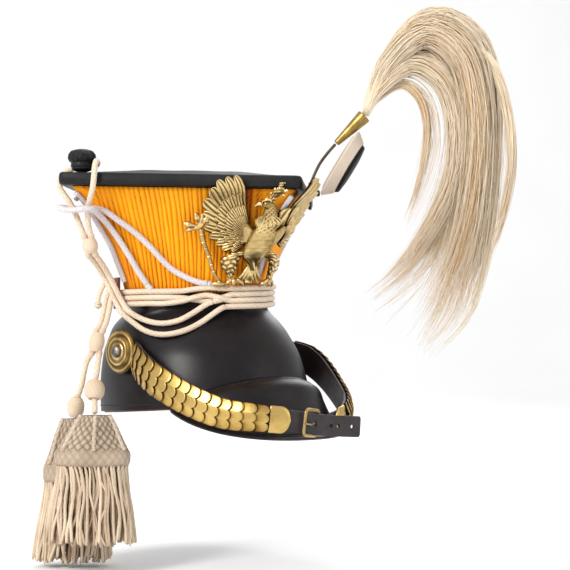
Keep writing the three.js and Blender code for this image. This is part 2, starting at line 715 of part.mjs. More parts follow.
// The boss's stem goes through an eye in the leather.
const BOSS = { x: 85, y: 2.5, z: 50, lean: -0.09, stem: 5, radius: 18.5 };
const bossBase = at(-BOSS.x, BOSS.y, BOSS.z);
const bossAxis = at(-1, BOSS.lean, 0).normalize();

function strapGeometry(side) {
  const curve = strapCurve(side);
  const length = curve.getLength();
  const edge = STRAP.thick / 2;
  const stations = [...strapStations.filter((reach) => reach < length - 5), length];
  const rings = stations.map((reach) => {
    const frame = strapFrame(curve, reach);
    const blunt = reach === 0 || reach === length ? 0.7 : 1;
    const half = (column(strapWidths, 'reach', 'width', reach) * blunt) / 2;
    return [[-half, -edge], [half, -edge], [half, edge], [-half, edge]]
      .map(([across, lift]) => strapPoint(frame, across, lift));
  });
  const eyeProfile = [[0, -12], [BOSS.stem + GAP, -12], [BOSS.stem + GAP, 12], [0, 12]];
  return cut(skin(rings), turned(eyeProfile, bossBase, bossAxis, 10));
}

// Holes in the free end, measured from its tip; the prong is in the widest one.
const strapHoles = [
  { fromTip: 8, radius: 1.5 }, { fromTip: 21, radius: 1.5 }, { fromTip: 28, radius: 1.5 },
  { fromTip: 43.7, radius: 2.9 },
];

function rightStrapGeometry() {
  const curve = strapCurve('right');
  const pierced = strapHoles.reduce((body, { fromTip, radius }) => {
    const { middle, out } = strapFrame(curve, curve.getLength() - fromTip);
    const profile = [[0, -5], [radius, -5], [radius, 5], [0, 5]];
    return body.subtract(solid(turned(profile, middle, out, 8)));
  }, solid(strapGeometry('right')));
  return geometryOf(pierced);
}
add('strap_right', rightStrapGeometry(), strapLeather);
add('strap_left', mirrored(strapGeometry('left')), strapLeather);

// Scales: three-lobed plates, each lying over the next one towards the tip.
const SCALE = { start: 37, pitch: 9.2, rows: 15, perStretch: 5, base: 1.1, camber: 3, shingle: 1.5, lobe: 2.2 };
const scaleLift = STRAP.thick / 2 + GAP + 0.25;

function scaleRing(curve, reach, raised) {
  const frame = strapFrame(curve, reach);
  const half = column(strapWidths, 'reach', 'width', reach) / 2 + 1;
  const outer = [-1, -2 / 3, -1 / 3, 0, 1 / 3, 2 / 3, 1].map((v) => {
    const lobe = SCALE.lobe * Math.abs(Math.cos(1.5 * Math.PI * v));
    const lift = scaleLift + SCALE.base + SCALE.camber * (1 - v * v) + (raised ? SCALE.shingle : 0);
    return strapPoint(frame, v * half, lift, lobe + (raised ? 0 : 0.25));
  });
  return [strapPoint(frame, half, scaleLift), strapPoint(frame, -half, scaleLift), ...outer];
}

function scaleStretchGeometry(side, stretch) {
  const curve = strapCurve(side);
  const rings = [];
  for (let row = 0; row < SCALE.perStretch; row += 1) {
    const first = SCALE.start + SCALE.pitch * (stretch * SCALE.perStretch + row);
    const seam = row === 0 ? 3 * GAP : 0;
    rings.push(scaleRing(curve, first + seam, false), scaleRing(curve, first + SCALE.pitch, true));
  }
  return skin(rings);
}

// The plate at the tip has a round end.
function tipPlateGeometry(side) {
  const curve = strapCurve(side);
  const start = SCALE.start + SCALE.pitch * SCALE.rows + 3;
  const rows = [
    { reach: start, half: 10.4, lift: 2.2 },
    { reach: start + 9, half: 10, lift: 1.8 },
    { reach: start + 13.5, half: 7.6, lift: 1.4 },
    { reach: start + 16, half: 3.6, lift: 0.8 },
  ];
  return skin(rows.map(({ reach, half, lift }) => {
    const frame = strapFrame(curve, reach);
    const outer = [-1, -0.5, 0.5, 1].map((v) => strapPoint(frame, v * half, scaleLift + lift + (1 - v * v)));
    return [strapPoint(frame, half, scaleLift), strapPoint(frame, -half, scaleLift), ...outer];
  }));
}

for (const side of ['right', 'left']) {
  const place = side === 'left' ? mirrored : (geometry) => geometry;
  for (let stretch = 0; stretch * SCALE.perStretch < SCALE.rows; stretch += 1) {
    add(`scales_${side}_${stretch + 1}`, place(scaleStretchGeometry(side, stretch)), brass);
  }
  add(`tip_${side}`, place(tipPlateGeometry(side)), brass);
}

// ---------------------------------------------------------------- buckle

// The frame leans so that its outer bar lies over the tongue and its inner bar under it.
const BUCKLE = { fromTip: 46, wide: 21, tall: 21.5, bar: 2.6, lean: 0.45, out: 0.6, up: 0.7 };
const buckleFrame = (() => {
  const curve = strapCurve('right');
  const { middle, along, up, out } = strapFrame(curve, curve.getLength() - BUCKLE.fromTip);
  const slant = new THREE.Quaternion().setFromAxisAngle(up, BUCKLE.lean);
  middle.addScaledVector(out, BUCKLE.out).addScaledVector(up, BUCKLE.up);
  return { middle, up, along: along.applyQuaternion(slant), out: out.applyQuaternion(slant) };
})();

function roundedBox(halfX, halfY, round) {
  const shape = new THREE.Shape();
  for (let corner = 0; corner < 4; corner += 1) {
    for (const bend of [15, 75]) {
      const turn = THREE.MathUtils.degToRad(corner * 90 + bend);
      const [signX, signY] = [Math.sign(Math.cos(turn)), Math.sign(Math.sin(turn))];
      const x = signX * (halfX - round) + round * Math.cos(turn);
      const y = signY * (halfY - round) + round * Math.sin(turn);
      if (corner === 0 && bend === 15) shape.moveTo(x, y);
      else shape.lineTo(x, y);
    }
  }
  shape.closePath();
  return shape;
}

function buckleGeometry() {
  const outline = roundedBox(BUCKLE.wide / 2, BUCKLE.tall / 2, 4);
  outline.holes.push(roundedBox(BUCKLE.wide / 2 - BUCKLE.bar, BUCKLE.tall / 2 - BUCKLE.bar + 0.8, 0.8));
  const plate = new THREE.ExtrudeGeometry(outline, { depth: 2.2, bevelEnabled: false, steps: 1 });
  plate.translate(0, 0, -1.1);
  const { middle, along, up, out } = buckleFrame;
  return plate.applyMatrix4(new THREE.Matrix4().makeBasis(along, up, out).setPosition(middle));
}
add('buckle', buckleGeometry(), brass);

// The prong comes through the tongue and rests on the outer bar.
const prongRoute = [[4.4, -2.6], [3, -0.7], [0.9, 1.7], [-3, 4.4], [-8.6, 7.1]];
function prongGeometry() {
  const curve = strapCurve('right');
  const frame = strapFrame(curve, curve.getLength() - BUCKLE.fromTip);
  const route = prongRoute.map(([forward, lift]) => strapPoint(frame, -0.5, lift, forward));
  return cordAlong(route, 2, { steps: 6 });
}
add('buckle_prong', prongGeometry(), brass);

// ---------------------------------------------------------------- bosses

const bossProfile = [
  [0, -5.3], [BOSS.stem, -5.3], [BOSS.stem, 0], [BOSS.radius, 0], [BOSS.radius, 1.5], [15.5, 3],
  [12.4, 2.6], [11, 5], [0, 5],
];
const screwProfile = [[0, 5 + GAP], [5.2, 5 + GAP], [4.4, 7.2], [2.4, 8.4], [0, 8.7]];
const bossGeometry = () => turned(bossProfile, bossBase, bossAxis, 12);
const screwGeometry = () => turned(screwProfile, bossBase, bossAxis, 10);
add('boss_right', bossGeometry(), brass);
add('boss_left', mirrored(bossGeometry()), brass);
add('boss_screw_right', screwGeometry(), steel);
add('boss_screw_left', mirrored(screwGeometry()), steel);

// ---------------------------------------------------------------- eagle plate

// The plate wraps the front corner of the cover. Along is measured round the cover from the front
// ridge, positive towards the wearer's right, and lift is outwards from the plate's inner face.
const EAGLE = {
  thick: 2, right: 3, left: 0,     // sides of the cover that each half lies on
  ridge: 7.4, near: 6.6, far: 2.5, fade: 8, farSlope: 0.25, lean: 0.28, leanFrom: 166,
};

function platePoint(along, z, lift) {
  const level = Math.min(z, BOARD.bottom);
  const round = column(coverSections, 'z', 'round', level);
  const core = halfOfSquare(column(coverSections, 'z', 'ridge', level), round) - round;
  const length = core + (round * Math.PI) / 4;
  const near = along >= 0;
  const side = near ? EAGLE.near : EAGLE.far - EAGLE.farSlope * along;
  const stand = lerp(EAGLE.ridge * ridgeSlant(level), side, Math.min(1, Math.abs(along) / EAGLE.fade));
  const rise = Math.max(0, z - EAGLE.leanFrom) * EAGLE.lean;
  const s = (near ? 1 : -1) - along / length;
  const p = coverPoint(near ? EAGLE.right : EAGLE.left, s, level, stand + rise + lift);
  return at(p.x, p.y, z);
}

// A flat outline of [along, z] rows laid on the plate's surface.
function plateFrom(rows, lift, thick) {
  const outline = new THREE.Shape(rows.map(([along, z]) => new THREE.Vector2(along, z)));
  const geometry = new THREE.ExtrudeGeometry(outline, { depth: thick, bevelEnabled: false, steps: 1 });
  const place = geometry.attributes.position;
  for (let i = 0; i < place.count; i += 1) {
    const p = platePoint(place.getX(i), place.getY(i), lift + place.getZ(i));
    place.setXYZ(i, p.x, p.y, p.z);
  }
  return outward(geometry);
}

// Feathers fan out from each shoulder: reach and turn of their tips, from straight up.
const wings = {
  near: {
    shoulder: [13.5, 141],
    side: 1,
    inner: [[18.8, 146], [28, 156.6], [24.1, 159], [32, 171]],
    feathers: [
      { reach: 58, turn: 34 }, { reach: 61, turn: 40 }, { reach: 64, turn: 46 }, { reach: 62.5, turn: 52 },
      { reach: 58, turn: 59 }, { reach: 51, turn: 67 }, { reach: 43, turn: 76 }, { reach: 34.5, turn: 85 },
      { reach: 27, turn: 96 }, { reach: 22, turn: 110 }, { reach: 16, turn: 128 },
    ],
  },
  far: {
    shoulder: [-2, 141],
    side: -1,
    inner: [[1.5, 152], [1, 172]],
    feathers: [
      { reach: 47, turn: 4 }, { reach: 50, turn: 12 }, { reach: 52, turn: 20 }, { reach: 52, turn: 29 },
      { reach: 50, turn: 39 }, { reach: 45, turn: 49 }, { reach: 37, turn: 59 }, { reach: 28, turn: 70 },
      { reach: 20, turn: 84 }, { reach: 13, turn: 108 },
    ],
  },
};

// The wing's edge: a blunt tip for each feather, with a notch between one and the next.
function wingRows({ shoulder, side, inner, feathers }) {
  const spot = (reach, turn) => {
    const bend = THREE.MathUtils.degToRad(turn);
    return [shoulder[0] + side * reach * Math.sin(bend), shoulder[1] + reach * Math.cos(bend)];
  };
  const rows = [...inner];
  feathers.forEach(({ reach, turn }, i) => {
    const next = feathers[i + 1] ?? { reach: reach - 4, turn: turn + 14 };
    const half = (next.turn - turn) * 0.32;
    rows.push(spot(reach, turn - half), spot(reach - 0.6, turn + half));
    rows.push(spot(Math.min(reach, next.reach) - 3.6, (turn + next.turn) / 2));
  });
  return [...rows, spot(9, 200)];
}

// Rounded limbs, as rows of their middle line; across and deep are half sizes.
const limbs = {
  body: [
    { along: 8.2, z: 105.4, across: 3, deep: 1.5, lift: 2.5 },
    { along: 8.4, z: 113, across: 2, deep: 1.8, lift: 3 },
    { along: 9, z: 121, across: 2.6, deep: 2.4, lift: 4.5 },
    { along: 9.6, z: 126, across: 5.4, deep: 4.6, lift: 5.5 },
    { along: 9.4, z: 133, across: 7, deep: 6.2, lift: 6 },
    { along: 8.8, z: 141, across: 6.6, deep: 6, lift: 6 },
    { along: 8.2, z: 148, across: 5, deep: 4.8, lift: 6 },
    { along: 7.8, z: 156, across: 3.6, deep: 4, lift: 6 },
    { along: 8.4, z: 163, across: 3.2, deep: 3.8, lift: 6 },
    { along: 9, z: 168, across: 2.2, deep: 2.6, lift: 6 },
  ],
  head: [
    { along: 18.4, z: 165.4, across: 0.6, deep: 0.7, lift: 7 },
    { along: 15.4, z: 167, across: 1.6, deep: 2, lift: 6.8 },
    { along: 10.4, z: 166.6, across: 2.6, deep: 3.6, lift: 6.2 },
  ],
  crown: [
    { along: 9.4, z: 167.5, across: 2.6, deep: 2.6, lift: 5 },
    { along: 9.2, z: 171.5, across: 2.4, deep: 2.4, lift: 5 },
    { along: 8.6, z: 176, across: 3.6, deep: 3, lift: 5 },
    { along: 8, z: 180.5, across: 1.5, deep: 1.4, lift: 5 },
    { along: 7.8, z: 183.4, across: 2, deep: 1, lift: 5 },
  ],
  shoulder: [
    { along: 14, z: 138, across: 7, deep: 3, lift: 3 },
    { along: 17.5, z: 146, across: 6.4, deep: 3, lift: 3 },
    { along: 25, z: 154, across: 3, deep: 2, lift: 2.4 },
  ],
  farShoulder: [
    { along: 6, z: 134, across: 4.4, deep: 3, lift: 3.4 },
    { along: 2, z: 142, across: 4, deep: 3, lift: 3 },
    { along: -2.4, z: 151, across: 2.4, deep: 2, lift: 2.4 },
  ],
  nearLeg: [
    { along: 14, z: 131, across: 5, deep: 3, lift: 4 },
    { along: 19.5, z: 129, across: 8, deep: 3.8, lift: 4 },
    { along: 25, z: 124.6, across: 7.6, deep: 4.4, lift: 4 },
    { along: 23.6, z: 117.5, across: 6, deep: 3.8, lift: 3.6 },
    { along: 20.4, z: 111, across: 2.6, deep: 2, lift: 3 },
    { along: 17, z: 106, across: 5.2, deep: 1.8, lift: 2.4 },
  ],
  farLeg: [
    { along: 5, z: 131, across: 5, deep: 3, lift: 4 },
    { along: 0.8, z: 128.6, across: 5, deep: 3.6, lift: 4 },
    { along: -4.6, z: 124, across: 5.6, deep: 4, lift: 4 },
    { along: -6.2, z: 117, across: 4.6, deep: 3.4, lift: 4 },
    { along: -4.6, z: 111, across: 2.4, deep: 2, lift: 4 },
    { along: -2.6, z: 106.4, across: 4.4, deep: 1.8, lift: 4 },
  ],
};

function limbGeometry(rows, sides = 6) {
  return skin(rows.map(({ along, z, across, deep, lift }) => (
    Array.from({ length: sides }, (_, i) => {
      const turn = (2 * Math.PI * i) / sides;
      return platePoint(along + across * Math.cos(turn), z, lift + deep * Math.sin(turn));
    }))));
}

// The sceptre in the near claw: its foot, its shaft and the fleuron at its head.
const sceptreRows = [
  [22, 103.6], [35.8, 103], [37, 106], [33.6, 108], [38, 117.5], [50, 135.8], [57.6, 145],
  [64.6, 146], [73.6, 152.4], [74, 158.8], [69, 156], [69, 162.4], [64, 158], [62.6, 161.6],
  [55.8, 159.4], [50.5, 151], [53, 143.6], [46.2, 134], [34, 117], [29.4, 108.4], [22, 107.6],
];

function eagleGeometry() {
  return fuse([
    plateFrom(wingRows(wings.near), 0, EAGLE.thick),
    plateFrom(wingRows(wings.far), 0, EAGLE.thick),
    plateFrom(sceptreRows, 0.4, EAGLE.thick + 0.4),
    limbGeometry(limbs.body, 8),
    ...['head', 'crown', 'shoulder', 'farShoulder', 'nearLeg', 'farLeg'].map((name) => limbGeometry(limbs[name])),
  ]);
}
add('eagle_plate', eagleGeometry(), brass);

// ---------------------------------------------------------------- field badge and plume

// Both stand in the upright plane across the left front side; out is the distance in that plane.
const standing = (out, z, aside = 0) => at(
  (out + aside) * Math.SQRT1_2,
  BACK + (aside - out) * Math.SQRT1_2,
  z,
);
const ASIDE = standing(0, 0, 1).sub(standing(0, 0));

const BADGE = { out: 125.3, z: 208.8, lean: 31.3, halfLong: 31.5, halfWide: 18, thick: 9.6 };
const badgeLong = standing(0, 0).negate()
  .add(standing(...[Math.sin, Math.cos].map((f) => f(THREE.MathUtils.degToRad(BADGE.lean)))));
const badgeFace = ASIDE.clone().cross(badgeLong).normalize();

// An oval body on the badge's axis: rows are [share of the full size, height along the axis].
function ovalGeometry(rows, halfLong, halfWide) {
  const side = badgeFace.clone().cross(badgeLong);
  return skin(rows.map(([share, height]) => Array.from({ length: 16 }, (_, i) => {
    const turn = (2 * Math.PI * i) / 16;
    return standing(BADGE.out, BADGE.z)
      .addScaledVector(badgeFace, height)
      .addScaledVector(badgeLong, share * halfLong * Math.cos(turn))
      .addScaledVector(side, share * halfWide * Math.sin(turn));
  })));
}
const face = BADGE.thick / 2;
// The pad narrows towards its front, where the black centre stands.
const padRows = [[0.97, -face], [1, -face * 0.7], [0.78, face]];
const centreRows = [[1, face + GAP], [0.9, face + 3.6], [0.5, face + 4.6]];
const backingRows = [[0.94, -face - GAP - 1], [1, -face - GAP]];
add('badge_pad', ovalGeometry(padRows, BADGE.halfLong, BADGE.halfWide), badgeCloth);
add('badge_centre', ovalGeometry(centreRows, BADGE.halfLong * 0.75, BADGE.halfWide * 0.72), blackCloth);
add('badge_backing', ovalGeometry(backingRows, BADGE.halfLong * 0.84, BADGE.halfWide * 0.8), badgeCloth);

// A leather tab outside the board's left front edge holds the badge and the plume's wire.
const TAB = { inner: 95.2, thick: 2.4, halfWide: 6, low: 171, high: 193.6 };
function badgeTabGeometry() {
  const plate = [[TAB.inner, TAB.low], [TAB.inner + TAB.thick, TAB.low],
    [TAB.inner + TAB.thick, TAB.high], [TAB.inner, TAB.high]];
  const link = [[96.4, 182], [104.8, 182.6], [104.9, 187], [96.4, 190.5]];
  const slab = (rows, halfWide) => skin([halfWide, -halfWide].map((aside) => (
    rows.map(([out, z]) => standing(out, z, aside)))));
  return fuse([slab(plate, TAB.halfWide), slab(link, 3.4)]);
}
add('badge_tab', badgeTabGeometry(), blackLeather);

const plumeWire = [[97.4, 194.4], [101.2, 203.5], [105.6, 211.8], [112.4, 220.7], [118.3, 227.3]];
add('plume_wire', cordAlong(plumeWire.map(([out, z]) => standing(out, z)), 2.6, { steps: 7 }), steel);

const ferruleBase = standing(119, 228);
const ferruleAxis = standing(143.3, 251.4).sub(ferruleBase);
const ferruleLength = ferruleAxis.length();
const ferruleProfile = [[0, 0], [2.7, 0], [6.4, ferruleLength], [0, ferruleLength]];
add('plume_ferrule', turned(ferruleProfile, ferruleBase, ferruleAxis, 12), brass);

// Locks of horsehair rise from the ferrule, arch over and fall; rows are out, z and sideways place.
const locks = [
  { full: 14, route: [[144.1, 252.2, 0], [165, 299, 2], [202, 334, 4], [236, 317, 4], [249, 264, 4],
    [247, 190, 5], [238, 121, 5], [223, 76, 4], [190, 44, 2]] },
  { full: 13, route: [[144.1, 252.2, 0], [162, 293, -6], [196, 321, -9], [224, 303, -10], [237, 257, -10],
    [236, 195, -10], [225, 136, -9], [203, 78, -6], [184, 43, -4]] },
  { full: 13, route: [[144.1, 252.2, 0], [156, 282, 6], [188, 307, 9], [214, 292, 9], [226, 250, 9],
    [222, 195, 8], [202, 144, 7], [177, 108, 5], [148, 86, 4]] },
  { full: 10, route: [[144.1, 252.2, 0], [155, 273, -3], [184, 295, -4], [209, 281, -4], [221, 248, -4],
    [219, 202, -4], [200, 155, -3], [172, 117, -2], [141, 91, 0]] },
  { full: 4.5, route: [[144.1, 252.2, 0], [154, 266, 3], [175, 279, 3], [190, 268, 3], [197, 243, 3],
    [195, 220, 3], [187, 187, 2], [171, 147, 2]] },
  { full: 4.5, route: [[226, 318, -3], [250, 298, -5], [264, 258, -5], [268, 212, -5], [260, 165, -4],
    [242, 112, -3]] },
];
const lockWidths = [
  { share: 0, width: 0.15 }, { share: 0.12, width: 0.7 }, { share: 0.3, width: 1 },
  { share: 0.7, width: 1 }, { share: 0.9, width: 0.75 }, { share: 1, width: 0.15 },
];

function lockGeometry({ full, route }) {
  const curve = new THREE.CatmullRomCurve3(
    route.map(([out, z, aside]) => standing(out, z, aside)), false, 'centripetal');
  const [steps, sides] = [8, 5];
  return skin(Array.from({ length: steps + 1 }, (_, step) => {
    const share = step / steps;
    const middle = curve.getPointAt(share);
    const across = ASIDE.clone().cross(curve.getTangentAt(share)).normalize();
    const half = full * column(lockWidths, 'share', 'width', share);
    return Array.from({ length: sides }, (_, i) => {
      const turn = (2 * Math.PI * i) / sides;
      return middle.clone()
        .addScaledVector(across, half * Math.cos(turn))
        .addScaledVector(ASIDE, half * 0.8 * Math.sin(turn));
    });
  }));
}
add('plume', fuse(locks.map(lockGeometry)), horsehair);

export default part;
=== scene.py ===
import math
import bpy
import bmesh
import numpy as np
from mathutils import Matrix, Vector


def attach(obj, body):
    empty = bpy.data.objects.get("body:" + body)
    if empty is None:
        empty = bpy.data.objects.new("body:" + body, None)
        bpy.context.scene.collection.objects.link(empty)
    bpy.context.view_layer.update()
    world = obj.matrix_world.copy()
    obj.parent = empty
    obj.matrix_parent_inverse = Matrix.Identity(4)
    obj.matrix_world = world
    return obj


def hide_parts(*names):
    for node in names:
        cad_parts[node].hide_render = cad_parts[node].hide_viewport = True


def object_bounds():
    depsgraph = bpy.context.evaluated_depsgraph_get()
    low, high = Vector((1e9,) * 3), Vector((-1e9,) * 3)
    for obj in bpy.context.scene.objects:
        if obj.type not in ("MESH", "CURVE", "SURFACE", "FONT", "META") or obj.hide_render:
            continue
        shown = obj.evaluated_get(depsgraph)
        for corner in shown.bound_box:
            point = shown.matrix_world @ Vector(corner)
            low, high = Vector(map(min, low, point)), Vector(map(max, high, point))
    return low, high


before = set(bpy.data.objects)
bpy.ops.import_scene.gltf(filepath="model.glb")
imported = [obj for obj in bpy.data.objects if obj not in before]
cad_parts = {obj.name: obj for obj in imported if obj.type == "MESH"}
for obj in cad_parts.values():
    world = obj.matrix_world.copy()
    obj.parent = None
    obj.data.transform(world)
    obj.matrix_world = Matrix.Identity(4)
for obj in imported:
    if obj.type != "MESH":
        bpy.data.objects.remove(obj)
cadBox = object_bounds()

mm = 0.001
gap = 0.35            # clearance between touching pieces, in millimetres as all sizes below
back = 9.0            # the head of the cap sits this far behind the skull's centre


def addObject(name, data):
    thing = bpy.data.objects.new(name, data)
    bpy.context.collection.objects.link(thing)
    return thing


# camera first: level, from the wearer's right front
cameraSet = {"place": (-0.7388, -0.9456, 0.070), "tilt": 91.72, "heading": -41.28, "lens": 88.1}
camera = addObject("camera", bpy.data.cameras.new("camera"))
camera.location = cameraSet["place"]
camera.rotation_euler = (math.radians(cameraSet["tilt"]), 0, math.radians(cameraSet["heading"]))
camera.data.lens = cameraSet["lens"]
bpy.context.scene.camera = camera
bpy.context.scene.view_settings.view_transform = "Standard"


# material helpers; a value is the output of a node, a number or a colour

def feed(tree, value, socket):
    if isinstance(value, bpy.types.NodeSocket):
        tree.links.new(value, socket)
    else:
        socket.default_value = (*value, 1) if isinstance(value, tuple) else value


def addNode(tree, kind, values, **settings):
    node = tree.nodes.new("ShaderNode" + kind)
    for name, setting in settings.items():
        setattr(node, name, setting)
    for socket, value in values.items():
        feed(tree, value, node.inputs[socket])
    return node


def texture(tree, kind, values, stretch):
    mapping = addNode(tree, "Mapping", {"Vector": addNode(tree, "TexCoord", {}).outputs["Object"]})
    mapping.inputs["Scale"].default_value = stretch
    return addNode(tree, kind, {**values, "Vector": mapping.outputs["Vector"]})


def noise(tree, scale, detail, rough, stretch=(1, 1, 1)):
    values = {"Scale": scale, "Detail": detail, "Roughness": rough}
    return texture(tree, "TexNoise", values, stretch).outputs["Fac"]


def cells(tree, scale):
    return texture(tree, "TexVoronoi", {"Scale": scale}, (1, 1, 1)).outputs["Distance"]


def shadeOf(tree):
    # the tone that every mesh stores at its points
    return addNode(tree, "Attribute", {}, attribute_name="shade").outputs["Fac"]


def ramp(tree, value, stops):
    # a stop's colour is three numbers, or a single one for a grey
    node = addNode(tree, "ValToRGB", {"Fac": value})
    band = node.color_ramp
    while len(band.elements) < len(stops):
        band.elements.new(0.5)
    for element, (spot, colour) in zip(band.elements, stops):
        element.position = spot
        element.color = (*colour, 1) if len(colour) == 3 else (colour[0],) * 3 + (1,)
    return node.outputs["Color"]


def calculate(tree, kind, first, second):
    return addNode(tree, "Math", {0: first, 1: second}, operation=kind).outputs[0]


def total(tree, *terms):
    # adds up (value, weight, middle) terms, each value measured from its middle
    result = None
    for value, weight, middle in terms:
        if middle:
            value = calculate(tree, "SUBTRACT", value, middle)
        if weight != 1:
            value = calculate(tree, "MULTIPLY", value, weight)
        result = calculate(tree, "ADD", result, value) if result else value
    return result


def dress(tree, settings, height=None, depth=0, strength=0):
    # sets the surface, and the fine relief of the given height and depth on it
    surface = tree.nodes["Principled BSDF"]
    for name, value in settings.items():
        feed(tree, value, surface.inputs[name])
    if height:
        bump = addNode(tree, "Bump", {"Strength": strength, "Distance": depth * mm, "Height": height})
        feed(tree, bump.outputs["Normal"], surface.inputs["Normal"])


def blackLeatherLook(tree, dark, light, gloss, coat, grain=0.12):
    # worn harness leather: uneven sheen, fine grain, a few long creases
    patches = noise(tree, 26, 6, 0.62)
    smears = noise(tree, 9, 3, 0.5, (1, 1, 0.5))
    scuffs = noise(tree, 420, 3, 0.7, (1, 1, 0.16))
    base = ramp(tree, patches, [(0.32, dark), (0.55, light), (0.78, dark)])
    wearAndShadow = calculate(tree, "MULTIPLY", ramp(tree, scuffs, [(0.66, (0.0,)), (0.76, (1.0,))]), 0.35)
    rubbed = tuple(min(1, c * 2.6) for c in light)
    mixed = addNode(tree, "Mix", {}, data_type="RGBA", blend_type="MIX")
    for index, value in ((0, wearAndShadow), (6, base), (7, rubbed)):
        feed(tree, value, mixed.inputs[index])
    dress(tree, {
        "Base Color": mixed.outputs[2],
        "Roughness": ramp(tree, smears, [(0.3, (gloss - 0.1,)), (0.7, (gloss + 0.12,))]),
        "Specular IOR Level": 0.22, "Coat Weight": coat, "Coat Roughness": 0.3},
        total(tree, (cells(tree, 1150), 0.6, 0), (patches, 1.6, 0)), grain, 0.7)


def plainLeatherLook(tree, dark, light, gloss):
    patches = noise(tree, 70, 6, 0.65)
    dress(tree, {
        "Base Color": ramp(tree, patches, [(0.3, dark), (0.7, light)]),
        "Roughness": ramp(tree, patches, [(0.3, (gloss + 0.1,)), (0.7, (gloss - 0.08,))])},
        total(tree, (cells(tree, 1500), 1, 0), (patches, 1, 0)), 0.1, 0.6)


def pleatedClothLook(tree, stops):
    # the crests keep the bright dye; the folds between them get painted shade, darker and browner
    value = total(tree, (shadeOf(tree), 1, 0), (noise(tree, 22, 4, 0.6), 0.5, 0.5),
                  (noise(tree, 700, 3, 0.7), 0.25, 0.5))
    dress(tree, {"Base Color": ramp(tree, value, stops), "Roughness": 0.9, "Specular IOR Level": 0.2,
                 "Sheen Weight": 0.15, "Sheen Roughness": 0.5}, noise(tree, 2600, 3, 0.7), 0.12, 0.6)


def yarnLook(tree, dark, middle, light, fuzz=2200):
    # cord, braid and fringe: the stored shade carries each strand's tone and the painted shade in the grooves
    # between the strands
    value = total(tree, (shadeOf(tree), 0.62, 0), (noise(tree, 34, 5, 0.6), 0.48, 0))
    dress(tree, {"Base Color": ramp(tree, value, [(0.2, dark), (0.5, middle), (0.82, light)]),
                 "Roughness": 0.86, "Specular IOR Level": 0.25, "Sheen Weight": 0.12},
          noise(tree, fuzz, 3, 0.7), 0.1, 0.7)


def brassLook(tree, bright, dull, dark, gloss, tarnish):
    # bright on the high spots and brown in the hollows through the stored shade, partly the rubbing and
    # patina of age and partly painted shade and highlight; cloudy with age
    clouds, grit = noise(tree, 85, 6, 0.66), noise(tree, 900, 3, 0.6)
    value = total(tree, (shadeOf(tree), 0.72, 0), (clouds, tarnish, 0.5), (grit, 0.16, 0.5))
    dress(tree, {
        "Base Color": ramp(tree, value, [(0.06, dark), (0.34, dull), (0.66, bright)]),
        "Roughness": ramp(tree, value, [(0.05, (gloss + 0.3,)), (0.65, (gloss,))]), "Metallic": 1.0},
        total(tree, (clouds, 1, 0), (grit, 1, 0)), 0.12, 0.5)


def steelLook(tree, light, dark, gloss):
    clouds = noise(tree, 160, 5, 0.65)
    dress(tree, {
        "Base Color": ramp(tree, clouds, [(0.35, dark), (0.65, light)]),
        "Roughness": ramp(tree, clouds, [(0.3, (gloss + 0.2,)), (0.7, (gloss,))]), "Metallic": 0.9},
        clouds, 0.1, 0.5)


def horsehairLook(tree, stops):
    # each hair carries its own tone, with painted shade on the hairs that lie deep in a lock, and soft
    # streaks run through the whole fall
    value = total(tree, (shadeOf(tree), 0.72, 0), (noise(tree, 60, 4, 0.6), 0.4, 0))
    dress(tree, {"Base Color": ramp(tree, value, stops), "Roughness": 0.55, "Specular IOR Level": 0.16},
          noise(tree, 1800, 2, 0.6), 0.06, 0.4)


def makeLook(name, build, *values):
    material = bpy.data.materials.new(name)
    material.use_nodes = True
    build(material.node_tree, *values)
    return material


